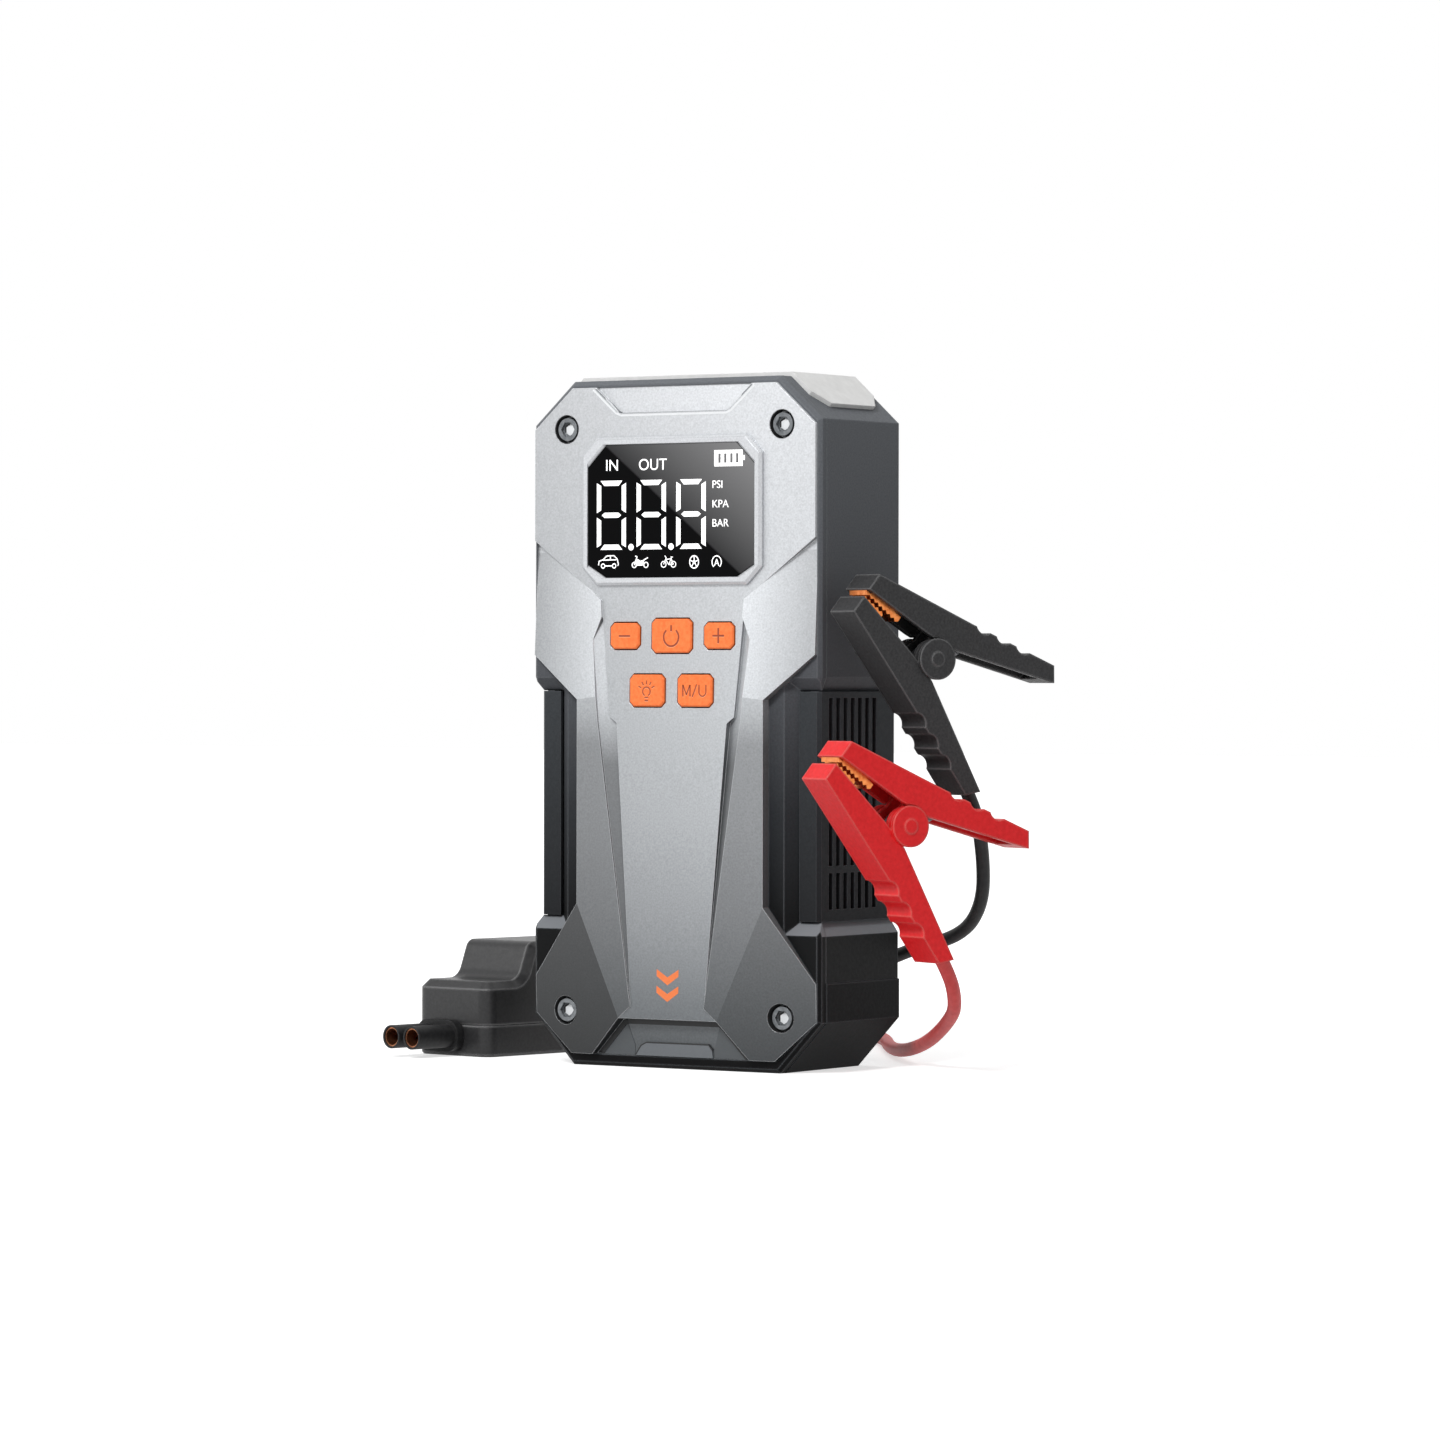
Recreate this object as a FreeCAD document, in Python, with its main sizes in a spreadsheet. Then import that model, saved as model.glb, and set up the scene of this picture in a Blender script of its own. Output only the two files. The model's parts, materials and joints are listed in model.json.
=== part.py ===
import FreeCAD, Part
import math
import os
import re
import Sketcher

# Jump starter pack with a tyre inflator, and its loose jumper lead
# X to the right, Y to the back, Z up, origin on the floor under the unit's middle

doc = FreeCAD.newDocument("jump_starter_pack")

# Driving dimensions in millimetres and degrees
SIZES = (
    ("case_width", 100.0),
    ("case_height", 200.0),
    ("case_rear", 24.0),
    ("seam_front", 17.9),
    ("frame_front", 21.2),
    ("top_corner_in", 14.0),
    ("top_corner_down", 12.6),
    ("foot_corner_in", 14.0),
    ("foot_corner_up", 14.8),
    ("case_wall", 2.4),
    ("rear_chamfer", 3.0),
    ("frame_chamfer", 1.1),
    ("waist_drop", 86.4),
    ("waist_bottom", 39.5),
    ("waist_slope", 4.0),
    ("waist_depth", 2.8),
    ("panel_thickness", 1.3),
    ("panel_gap", 0.15),
    ("panel_wrap", 8.5),
    ("wrap_slope", 3.8),
    ("vent_width", 2.2),
    ("vent_pitch", 3.9),
    ("vent_first_y", -13.2),
    ("vent_count", 7.0),
    ("vent_high_gap", 5.9),
    ("vent_low_gap", 7.5),
    ("vent_row_gap", 2.0),
    ("vent_low_height", 10.5),
    ("bumper_height", 26.0),
    ("bumper_wall", 1.4),
    ("bumper_proud", 0.3),
    ("boss_radius", 4.0),
    ("screw_inset", 12.5),
    ("screw_low", 16.0),
    ("screw_drop", 14.0),
    ("screw_head_radius", 3.7),
    ("screw_head_height", 2.0),
    ("screw_socket_width", 4.8),
    ("screw_socket_depth", 1.4),
    ("screw_shank_radius", 1.5),
    ("screw_length", 12.0),
    ("screw_hole_gap", 0.2),
    ("screw_recess_gap", 0.5),
    ("face_front", 22.0),
    ("plate_relief", 0.3),
    ("cover_back", 19.6),
    ("cover_side_gap", 1.2),
    ("ear_inset", 14.6),
    ("ear_drop", 2.0),
    ("ear_corner_drop", 14.0),
    ("notch_outer", 27.2),
    ("notch_inner", 18.7),
    ("notch_drop", 9.7),
    ("notch_depth", 1.2),
    ("step_side_drop", 46.5),
    ("step_inner_x", 24.9),
    ("step_inner_drop", 64.0),
    ("shoulder_drop", 1.55),
    ("shoulder_side_drop", 80.0),
    ("shoulder_side_relief", 0.4),
    ("shoulder_inner_x", 27.3),
    ("shoulder_inner_drop", 75.6),
    ("shoulder_inner_relief", 1.4),
    ("slit_top_x", 24.5),
    ("slit_top_drop", 69.0),
    ("waist_inset", 17.6),
    ("waist_high_drop", 93.0),
    ("waist_low_z", 47.5),
    ("leg_relief", 2.3),
    ("leg_inner_x", 24.9),
    ("leg_inner_drop", 99.0),
    ("slit_end_x", 12.8),
    ("slit_end_z", 18.0),
    ("slit_depth", 0.9),
    ("panel_step_x", 21.7),
    ("panel_step_drop", 98.0),
    ("panel_edge_x", 19.2),
    ("panel_edge_drop", 99.8),
    ("toe_x", 17.1),
    ("toe_z", 14.4),
    ("toe_relief", 3.1),
    ("foot_side_high", 26.0),
    ("foot_side_low", 15.0),
    ("foot_side_drop", 0.5),
    ("foot_corner_inset", 14.6),
    ("foot_base_z", 3.5),
    ("foot_notch_x", 27.4),
    ("foot_notch_drop", 0.5),
    ("screen_half", 31.3),
    ("screen_height", 43.2),
    ("screen_drop", 16.6),
    ("screen_corner", 5.2),
    ("screen_rim", 2.2),
    ("screen_lip", 1.1),
    ("screen_proud", 1.5),
    ("glass_thickness", 1.5),
    ("glass_recess", 0.3),
    ("module_thickness", 1.6),
    ("leg_width", 4.0),
    ("leg_height", 24.0),
    ("button_gap", 0.35),
    ("button_corner", 1.3),
    ("button_proud", 0.6),
    ("button_back", 20.4),
    ("upper_button_drop", 74.5),
    ("lower_button_drop", 90.35),
    ("side_button_x", 16.35),
    ("side_button_width", 10.3),
    ("side_button_height", 7.6),
    ("power_button_width", 14.0),
    ("power_button_height", 9.9),
    ("lower_button_x", 8.35),
    ("lower_button_width", 12.1),
    ("lower_button_height", 9.3),
    ("stem_radius", 1.8),
    ("stem_end", 17.25),
    ("stem_hole_gap", 0.3),
    ("clip_radius", 3.0),
    ("clip_thickness", 0.35),
    ("pad_front", 16.25),
    ("pad_margin", 3.0),
    ("board_width", 66.0),
    ("board_low_drop", 102.0),
    ("board_high_drop", 18.0),
    ("board_front", 15.2),
    ("board_thickness", 1.6),
    ("pillar_radius", 1.4),
    ("diffuser_front", 15.0),
    ("diffuser_back", 18.5),
    ("diffuser_proud", 1.3),
    ("diffuser_thickness", 2.6),
    ("diffuser_drop", 8.8),
    ("diffuser_corner", 5.0),
    ("light_board_inset", 5.0),
    ("light_board_depth", 20.0),
    ("light_board_thickness", 1.2),
    ("light_size", 3.0),
    ("light_pitch", 9.0),
    ("light_count", 6.0),
    ("light_post_height", 1.2),
    ("battery_gap", 0.5),
    ("battery_top_gap", 3.0),
    ("cell_thickness", 7.2),
    ("cell_gap", 0.4),
    ("cell_count", 4.0),
    ("battery_front", -13.0),
    ("tray_wall", 1.2),
    ("motor_gap", 0.3),
    ("motor_radius", 13.8),
    ("motor_length", 38.0),
    ("motor_rise", 1.0),
    ("motor_y", 4.5),
    ("crankcase_size", 26.0),
    ("crankcase_height", 24.0),
    ("mount_width", 16.0),
    ("cylinder_radius", 9.5),
    ("cylinder_length", 20.0),
    ("fin_radius", 12.0),
    ("fin_count", 4.0),
    ("fin_pitch", 3.4),
    ("fin_thickness", 1.2),
    ("head_thickness", 5.0),
    ("barb_length", 3.0),
    ("hose_radius", 2.0),
    ("outlet_y", 2.0),
    ("outlet_radius", 4.0),
    ("outlet_bore", 2.0),
    ("port_low_gap", 0.5),
    ("port_opening_width", 22.0),
    ("port_high_gap", 1.6),
    ("port_opening_y", 2.0),
    ("port_cover_thickness", 2.0),
    ("port_cover_gap", 0.4),
    ("port_block_depth", 14.0),
    ("port_flange", 1.6),
    ("socket_low_room", 5.8),
    ("socket_high_room", 1.8),
    ("socket_pin_radius", 2.45),
    ("socket_lobe_radius", 3.9),
    ("usb_low_room", 3.3),
    ("usb_high_room", 2.82),
    ("outlet_low_room", 2.48),
    ("outlet_high_room", 10.0),
    ("usb_width", 13.0),
    ("usb_height", 5.4),
    ("usb_pitch", 8.0),
    ("usb_depth", 13.0),
    ("usb_wall", 0.4),
    ("power_low", 46.0),
    ("power_height", 58.0),
    ("power_front", -10.0),
    ("power_width", 26.0),
    ("sink_depth", 7.2),
    ("sink_height", 8.0),
    ("sink_pitch", 14.0),
    ("sink_count", 4.0),
    ("box_x", -103.5),
    ("box_y", -6.5),
    ("box_turn", -9.0),
    ("box_width", 30.0),
    ("box_length", 85.0),
    ("box_low_top", 22.6),
    ("box_high_top", 34.0),
    ("box_step_start", 15.2),
    ("box_step_end", 19.6),
    ("box_step_hollow", 5.0),
    ("box_step_round", 3.5),
    ("box_seam", 9.5),
    ("box_corner", 4.0),
    ("box_edge", 2.4),
    ("box_wall", 1.8),
    ("box_groove", 0.3),
    ("plug_across", 11.8),
    ("plug_height", 6.1),
    ("plug_pitch", 8.6),
    ("barrel_radius", 3.5),
    ("barrel_length", 15.0),
    ("plug_shank", 9.0),
    ("web_length", 8.0),
    ("web_height", 3.2),
    ("relay_height", 6.0),
    ("collar_width", 17.2),
    ("collar_height", 9.4),
    ("collar_length", 3.0),
    ("contact_radius", 2.9),
    ("contact_bore", 2.5),
    ("contact_depth", 13.0),
    ("contact_inset", 0.4),
    ("gland_pitch", 13.0),
    ("gland_height", 15.0),
    ("gland_radius", 4.2),
    ("gland_tip_radius", 3.0),
    ("gland_length", 10.0),
    ("cable_radius", 2.0),
    ("clamp_turn", 63.5),
    ("clamp_pitch", -39.0),
    ("clamp_width", 13.0),
    ("clamp_side_wall", 1.8),
    ("clamp_back_wall", 2.4),
    ("jaw_length", 29.8),
    ("jaw_gap", 1.3),
    ("jaw_height", 6.8),
    ("grip_start_x", 3.1),
    ("grip_start_y", 15.5),
    ("handle_end_x", 32.3),
    ("handle_end_y", 23.9),
    ("handle_tip_x", 35.5),
    ("handle_tip_y", 20.0),
    ("handle_root_x", 2.8),
    ("handle_root_y", 5.7),
    ("throat_x", -6.6),
    ("throat_y", 3.9),
    ("grip_pitch", 7.0),
    ("grip_radius", 3.2),
    ("grip_depth", 1.1),
    ("grip_count", 3.0),
    ("ear_radius", 5.8),
    ("ear_gap", 0.35),
    ("ear_side_gap", 0.3),
    ("ear_root", 9.0),
    ("ear_root_height", 10.5),
    ("nose_wall", 2.0),
    ("cable_seat", 4.9),
    ("inner_ear_thickness", 1.5),
    ("pivot_radius", 1.45),
    ("pivot_fit", 0.05),
    ("pivot_cap_radius", 5.9),
    ("pivot_cap_height", 1.1),
    ("pivot_eye_radius", 2.1),
    ("pivot_eye_height", 0.25),
    ("tooth_pitch", 1.7),
    ("tooth_height", 0.7),
    ("tooth_gap", 0.2),
    ("tooth_plate", 1.6),
    ("lower_tooth_count", 5.0),
    ("upper_tooth_count", 8.0),
    ("spring_radius", 3.0),
    ("spring_wire", 0.55),
    ("spring_turns", 3.0),
    ("spring_pitch", 1.3),
    ("spring_leg", 9.0),
    ("crimp_radius", 2.5),
    ("crimp_length", 8.0),
    ("crimp_end", 24.0),
    ("black_pivot_x", 72.4),
    ("black_pivot_y", -1.3),
    ("black_pivot_z", 118.8),
    ("red_pivot_x", 77.2),
    ("red_pivot_y", -23.6),
    ("red_pivot_z", 71.7),
)

sheet = doc.addObject("Spreadsheet::Sheet", "sizes")
for row, (name, number) in enumerate(SIZES, start=1):
    sheet.set("A%d" % row, name)
    sheet.set("B%d" % row, str(number))
    sheet.setAlias("B%d" % row, name)
doc.recompute()

# Places that follow the case's own size; a later one may use the ones before it
PLACES = (
    ("half", "sizes.case_width / 2"),
    ("screw_x", "at.half - sizes.screw_inset"),
    ("screw_high", "sizes.case_height - sizes.screw_drop"),
    ("cover_half", "at.half - sizes.cover_side_gap"),
    ("ear_half", "at.half - sizes.ear_inset"),
    ("ear_top", "sizes.case_height - sizes.ear_drop"),
    ("ear_corner_z", "sizes.case_height - sizes.ear_corner_drop"),
    ("notch_bottom", "sizes.case_height - sizes.notch_drop"),
    ("step_side_z", "sizes.case_height - sizes.step_side_drop"),
    ("step_inner_z", "sizes.case_height - sizes.step_inner_drop"),
    ("shoulder_side_z", "sizes.case_height - sizes.shoulder_side_drop"),
    ("shoulder_inner_z", "sizes.case_height - sizes.shoulder_inner_drop"),
    ("slit_top_z", "sizes.case_height - sizes.slit_top_drop"),
    ("waist_half", "at.half - sizes.waist_inset"),
    ("waist_high_z", "sizes.case_height - sizes.waist_high_drop"),
    ("leg_inner_z", "sizes.case_height - sizes.leg_inner_drop"),
    ("panel_step_z", "sizes.case_height - sizes.panel_step_drop"),
    ("panel_edge_z", "sizes.case_height - sizes.panel_edge_drop"),
    ("foot_corner_x", "at.half - sizes.foot_corner_inset"),
    ("screen_high", "sizes.case_height - sizes.screen_drop"),
    ("screen_low", "at.screen_high - sizes.screen_height"),
    ("upper_button_z", "sizes.case_height - sizes.upper_button_drop"),
    ("lower_button_z", "sizes.case_height - sizes.lower_button_drop"),
    ("board_low", "sizes.case_height - sizes.board_low_drop"),
    ("board_high", "sizes.case_height - sizes.board_high_drop"),
    ("light_board_width", "2 * (at.half - sizes.top_corner_in - sizes.light_board_inset)"),
    ("waist_top", "sizes.case_height - sizes.waist_drop"),
    ("vent_top", "at.waist_top - sizes.vent_high_gap"),
    ("vent_span", "at.vent_top - sizes.waist_bottom - sizes.vent_low_gap"),
    ("vent_height", "(at.vent_span - 2 * sizes.vent_row_gap - sizes.vent_low_height) / 2"),
    ("port_low", "sizes.waist_bottom + sizes.waist_slope + sizes.port_low_gap"),
    ("port_high", "at.waist_top - sizes.waist_slope - sizes.port_high_gap"),
    ("port_opening_length", "at.port_high - at.port_low"),
    ("port_opening_z", "(at.port_low + at.port_high) / 2"),
    ("socket_tall", "sizes.plug_pitch + 2 * sizes.socket_lobe_radius"),
    ("usb_tall", "sizes.usb_pitch + sizes.usb_height"),
    ("port_rooms", "sizes.socket_low_room + sizes.socket_high_room + sizes.usb_low_room"
                   " + sizes.usb_high_room + sizes.outlet_low_room + sizes.outlet_high_room"),
    ("port_slack", "(at.port_opening_length - at.socket_tall - at.usb_tall"
                   " - 2 * sizes.outlet_radius) / at.port_rooms"),
    ("jump_socket_z", "at.port_low + at.port_slack * sizes.socket_low_room + at.socket_tall / 2"),
    ("socket_split_z", "at.jump_socket_z + at.socket_tall / 2"
                       " + at.port_slack * sizes.socket_high_room"),
    ("usb_z", "at.socket_split_z + at.port_slack * sizes.usb_low_room + at.usb_tall / 2"),
    ("outlet_split_z", "at.usb_z + at.usb_tall / 2 + at.port_slack * sizes.usb_high_room"),
    ("outlet_z", "at.outlet_split_z + at.port_slack * sizes.outlet_low_room"
                 " + sizes.outlet_radius"),
    ("motor_low", "at.outlet_z + sizes.outlet_radius + sizes.motor_rise"),
    ("battery_height", "at.outlet_z - sizes.outlet_radius - sizes.battery_top_gap"
                       " - sizes.bumper_wall - sizes.case_wall - sizes.tray_wall"),
    ("port_face", "at.half - sizes.waist_depth + sizes.panel_thickness"
                  " - sizes.port_cover_thickness - sizes.port_cover_gap"),
    ("port_inner", "at.port_face - sizes.port_block_depth"),
    ("battery_width", "2 * (at.port_inner - sizes.battery_gap - sizes.tray_wall"
                      " - sizes.cell_gap)"),
    ("compressor_x", "sizes.motor_gap + sizes.motor_radius - at.port_inner"),
)
nodes = []


def spelled(text):
    """An expression with each shared place written out in sizes."""
    for name, meaning in reversed(PLACES):
        text = re.sub(r"\bat\.%s\b" % name, "(%s)" % meaning, text)
    return text


def value(text):
    """The number that an expression on the sheet gives."""
    return float(sheet.evalExpression(spelled(text)))


def size(name):
    """One driving dimension."""
    return float(sheet.get(name))


def spot(name):
    """One shared place."""
    return value("at." + name)


def bind(thing, **expressions):
    """Tie properties of an object to expressions on the sheet."""
    for name, text in expressions.items():
        thing.setExpression(name.replace("_", "."), spelled(text))


def keep(thing, label):
    """Give a finished sub-part its name."""
    thing.Label = label
    nodes.append(thing)
    return thing


def place(thing, x, y, z, rotation=None):
    if rotation is not None:
        thing.Placement = FreeCAD.Placement(FreeCAD.Vector(), rotation)
    bind(thing, Placement_Base_x=x, Placement_Base_y=y, Placement_Base_z=z)
    return thing


def block(name, x, y, z, length, width, height):
    """A box by its lowest corner and its three lengths."""
    thing = doc.addObject("Part::Box", name)
    bind(thing, Length=length, Width=width, Height=height)
    return place(thing, x, y, z)


TURN_TO = {
    "+Z": FreeCAD.Rotation(),
    "-Y": FreeCAD.Rotation(FreeCAD.Vector(1, 0, 0), 90),
    "+Y": FreeCAD.Rotation(FreeCAD.Vector(1, 0, 0), -90),
    "+X": FreeCAD.Rotation(FreeCAD.Vector(0, 1, 0), 90),
    "-X": FreeCAD.Rotation(FreeCAD.Vector(0, 1, 0), -90),
}


def rod(name, way, x, y, z, radius, length):
    """A cylinder that starts at a point and runs one way."""
    thing = doc.addObject("Part::Cylinder", name)
    bind(thing, Radius=radius, Height=length)
    return place(thing, x, y, z, TURN_TO[way])


def cone(name, way, x, y, z, radius, tip_radius, length):
    thing = doc.addObject("Part::Cone", name)
    bind(thing, Radius1=radius, Radius2=tip_radius, Height=length)
    return place(thing, x, y, z, TURN_TO[way])


def cut(name, base, *tools):
    """The base less each tool in turn."""
    if len(tools) == 1:
        tool = tools[0]
    else:
        tool = doc.addObject("Part::MultiFuse", name + "_tools")
        tool.Shapes = list(tools)
    thing = doc.addObject("Part::Cut", name)
    thing.Base = base
    thing.Tool = tool
    return thing


def fuse(name, *shapes):
    thing = doc.addObject("Part::MultiFuse", name)
    thing.Shapes = list(shapes)
    thing.Refine = True
    return thing


def group(name, *shapes):
    """Separate solids of one kind in one node."""
    thing = doc.addObject("Part::Compound", name)
    thing.Links = list(shapes)
    return thing


def less(text):
    """The same length the other way."""
    return "0 - (%s)" % text


def outline_sketch(body, name, plane_role, offset, *outlines):
    """Closed outlines on one of a body's own planes, each corner tied to the sheet."""
    sketch = body.newObject("Sketcher::SketchObject", name)
    plane = [item for item in body.Origin.OriginFeatures if item.Role == plane_role][0]
    sketch.AttachmentSupport = [(plane, "")]
    sketch.MapMode = "FlatFace"
    sketch.setExpression("AttachmentOffset.Base.z", spelled(offset))
    for corners in outlines:
        first = sketch.GeometryCount
        count = len(corners)
        points = [FreeCAD.Vector(value(across), value(up), 0) for across, up in corners]
        sketch.addGeometry([
            Part.LineSegment(points[index], points[(index + 1) % count])
            for index in range(count)
        ])
        sketch.addConstraint([
            Sketcher.Constraint("Coincident", first + index, 2, first + (index + 1) % count, 1)
            for index in range(count)
        ])
        for index, (across, up) in enumerate(corners):
            for kind, number, text in (
                ("DistanceX", points[index].x, across),
                ("DistanceY", points[index].y, up),
            ):
                tie = Sketcher.Constraint(kind, -1, 1, first + index, 1, number)
                row = sketch.addConstraint(tie)
                sketch.setExpression("Constraints[%d]" % row, spelled(text))
    return sketch


def new_body(name):
    return doc.addObject("PartDesign::Body", name + "_body")


def pad(body, name, plane_role, offset, length, *outlines, midplane=False):
    """Raise outlines from one of a body's planes along its normal."""
    feature = body.newObject("PartDesign::Pad", name)
    feature.Profile = outline_sketch(body, name + "_outline", plane_role, offset, *outlines)
    feature.Midplane = midplane
    feature.setExpression("Length", spelled(length))
    doc.recompute()
    return feature


def pocket(body, name, plane_role, offset, depth, *outlines, midplane=False, onward=False):
    """Cut outlines into a body, against the plane's normal unless onward."""
    before = body.Shape.Volume
    feature = body.newObject("PartDesign::Pocket", name)
    feature.Profile = outline_sketch(body, name + "_outline", plane_role, offset, *outlines)
    feature.Midplane = midplane
    feature.Reversed = onward
    feature.setExpression("Length", spelled(depth))
    doc.recompute()
    if body.Shape.Volume >= before:
        raise RuntimeError(name + " cuts nothing")
    return feature


def edges_where(feature, test):
    """Names of the edges of a feature that pass a test."""
    return [
        "Edge%d" % (index + 1)
        for index, edge in enumerate(feature.Shape.Edges)
        if test(edge)
    ]


def chamfer(body, name, feature, amount, test):
    dressed = body.newObject("PartDesign::Chamfer", name)
    dressed.Base = (feature, edges_where(feature, test))
    dressed.setExpression("Size", spelled(amount))
    doc.recompute()
    return dressed


def fillet(body, name, feature, amount, test):
    dressed = body.newObject("PartDesign::Fillet", name)
    dressed.Base = (feature, edges_where(feature, test))
    dressed.setExpression("Radius", spelled(amount))
    doc.recompute()
    return dressed


def near(number, target):
    return abs(number - target) < 1e-4


def edge_at(axis, target):
    """A test for edges that lie in one flat plane across an axis."""
    def test(edge):
        box = edge.BoundBox
        low = getattr(box, axis + "Min")
        high = getattr(box, axis + "Max")
        return near(low, target) and near(high, target)
    return test


def mirrored(right_side):
    """A closed outline from its right half, given from one end to the other."""
    left_side = [(less(across), up) for across, up in reversed(right_side)]
    return right_side + left_side


def octagon(half, low, high, corner, up_corner=None):
    """A rectangle about X = 0 with its corners cut off."""
    rise = up_corner or corner
    return mirrored([
        ("%s - %s" % (half, corner), high),
        (half, "%s - %s" % (high, rise)),
        (half, "%s + %s" % (low, rise)),
        ("%s - %s" % (half, corner), low),
    ])


def cut_corner_box(x, z, width, height, corner):
    """A rectangle about a point with its corners cut off."""
    right = "(%s) + %s / 2" % (x, width)
    left = "(%s) - %s / 2" % (x, width)
    top = "%s + %s / 2" % (z, height)
    base = "%s - %s / 2" % (z, height)
    return [
        ("%s - %s" % (right, corner), top),
        (right, "%s - %s" % (top, corner)),
        (right, "%s + %s" % (base, corner)),
        ("%s - %s" % (right, corner), base),
        ("%s + %s" % (left, corner), base),
        (left, "%s + %s" % (base, corner)),
        (left, "%s - %s" % (top, corner)),
        ("%s + %s" % (left, corner), top),
    ]


# Cord routes, in millimetres, each from its gland or fitting to its far end
# Steps from the air outlet's inner end
INNER_HOSE_ROUTE = (
    (49.6, 4.5, 40.0), (49.1, 4.5, 27.0), (43.6, 4.2, 11.5), (30.6, 3.2, 1.2),
    (16.1, 2.2, -0.1), (1.5, 2.0, 0.0),
)
RED_CABLE_ROUTE = (
    (-80.3, 86.0, 15.0), (-77.6, 103.2, 14.4), (-67.5, 120.0, 10.5), (-48.0, 128.5, 5.5),
    (-25.0, 125.0, 2.4), (-5.5, 104.0, 2.0), (11.0, 79.0, 2.0), (28.0, 56.0, 2.4),
    (44.5, 37.2, 4.2), (59.4, 23.4, 7.9), (71.6, 13.2, 14.0), (81.5, 2.0, 19.8),
    (84.9, -8.2, 31.0), (80.9, -16.3, 43.7),
)
BLACK_CABLE_ROUTE = (
    (-67.4, 84.0, 15.0), (-65.0, 99.1, 14.3), (-55.0, 111.0, 12.0), (-40.3, 115.8, 8.2),
    (-25.5, 110.5, 5.0), (-12.5, 97.0, 4.2), (-1.5, 80.5, 7.5), (10.5, 60.5, 17.0),
    (27.0, 44.5, 28.0), (45.0, 38.0, 34.0), (64.5, 33.5, 38.5), (76.0, 25.5, 48.0),
    (80.5, 18.5, 61.5), (80.1, 14.1, 78.1), (76.1, 6.0, 90.8),
)

# Levels that several pieces share
HALF = "sizes.case_width / 2"
REAR = "sizes.case_rear"
SEAM = "-sizes.seam_front"
PANEL_FACE = "%s - sizes.waist_depth + sizes.panel_thickness" % HALF
SCREW_X = "at.screw_x"
FLOOR = "sizes.bumper_wall + sizes.case_wall"
INNER_WAIST = "%s - sizes.waist_depth - sizes.case_wall" % HALF


def waist_outline(inset):
    """The front view of the case, drawn in by a wall all round."""
    half = "%s - %s" % (HALF, inset)
    waist = "%s - sizes.waist_depth - %s" % (HALF, inset)
    skirt = "%s - sizes.bumper_wall - %s" % (HALF, inset)
    return mirrored([
        ("%s - sizes.top_corner_in + 0.4 * %s" % (half, inset), "sizes.case_height - %s" % inset),
        (half, "sizes.case_height - sizes.top_corner_down - 0.6 * %s" % inset),
        (half, "at.waist_top"),
        (waist, "at.waist_top - sizes.waist_slope"),
        (waist, "sizes.waist_bottom + sizes.waist_slope"),
        (half, "sizes.waist_bottom"),
        (half, "sizes.bumper_height"),
        (skirt, "sizes.bumper_height"),
        (skirt, "sizes.foot_corner_up + 0.6 * %s" % inset),
        ("%s - sizes.foot_corner_in + 0.4 * %s" % (skirt, inset), "sizes.bumper_wall + %s" % inset),
    ])


def rear_shell():
    """The tub that holds everything, open to the front."""
    body = new_body("rear_shell")
    outer = pad(body, "shell_walls", "XZ_Plane", less(REAR), "%s + sizes.seam_front" % REAR,
                waist_outline("0"))
    chamfer(body, "shell_rear_edge", outer, "sizes.rear_chamfer", edge_at("Y", size("case_rear")))
    pocket(body, "shell_room", "XZ_Plane", "sizes.seam_front",
           "%s + sizes.seam_front - sizes.case_wall" % REAR, waist_outline("sizes.case_wall"))
    bosses = []
    holes = []
    for number, (x, z) in enumerate((
        (SCREW_X, "sizes.screw_low"), (less(SCREW_X), "sizes.screw_low"),
        (SCREW_X, "at.screw_high"), (less(SCREW_X), "at.screw_high"),
    )):
        bosses.append(rod("screw_boss_%d" % number, "-Y", x, "%s - sizes.case_wall / 2" % REAR, z,
                          "sizes.boss_radius", "%s + sizes.seam_front - sizes.case_wall / 2" % REAR))
        holes.append(rod("boss_hole_%d" % number, "+Y", x, SEAM, z,
                         "sizes.screw_shank_radius", "sizes.screw_length"))
    shell = fuse("shell_with_bosses", body, *bosses)
    slot_length = "sizes.diffuser_back + sizes.diffuser_front - 2 * sizes.panel_thickness"
    light_slot = block("light_slot", "-at.light_board_width / 2",
                       "-sizes.diffuser_front + sizes.panel_thickness",
                       "sizes.case_height - 2 * sizes.case_wall",
                       "at.light_board_width", slot_length, "3 * sizes.case_wall")
    ports = block("port_window", "-%s" % HALF, "sizes.port_opening_y - sizes.port_opening_width / 2",
                  "at.port_opening_z - at.port_opening_length / 2",
                  "sizes.waist_depth + 2 * sizes.case_wall", "sizes.port_opening_width",
                  "at.port_opening_length")
    shell = cut("rear_shell", shell, diffuser_form("diffuser_seat"), light_slot, ports,
                vent_tools("shell"), *holes)
    return keep(shell, "rear_shell")


def vent_tools(name):
    """Seven upright slots in three rows through the right wall."""
    slots = []
    rows = (
        ("at.vent_top", "at.vent_height"),
        ("at.vent_top - at.vent_height - sizes.vent_row_gap", "at.vent_height"),
        ("at.vent_top - 2 * at.vent_height - 2 * sizes.vent_row_gap", "sizes.vent_low_height"),
    )
    for column in range(int(size("vent_count"))):
        y = "sizes.vent_first_y + %d * sizes.vent_pitch" % column
        for line, (top, height) in enumerate(rows):
            label = "%s_vent_%d_%d" % (name, column, line)
            slots.append(block(label, "%s - sizes.waist_depth - 2 * sizes.case_wall" % HALF,
                               "%s - sizes.vent_width / 2" % y, "%s - %s" % (top, height),
                               "4 * sizes.case_wall", "sizes.vent_width", height))
    return group(name + "_vents", *slots)


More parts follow.
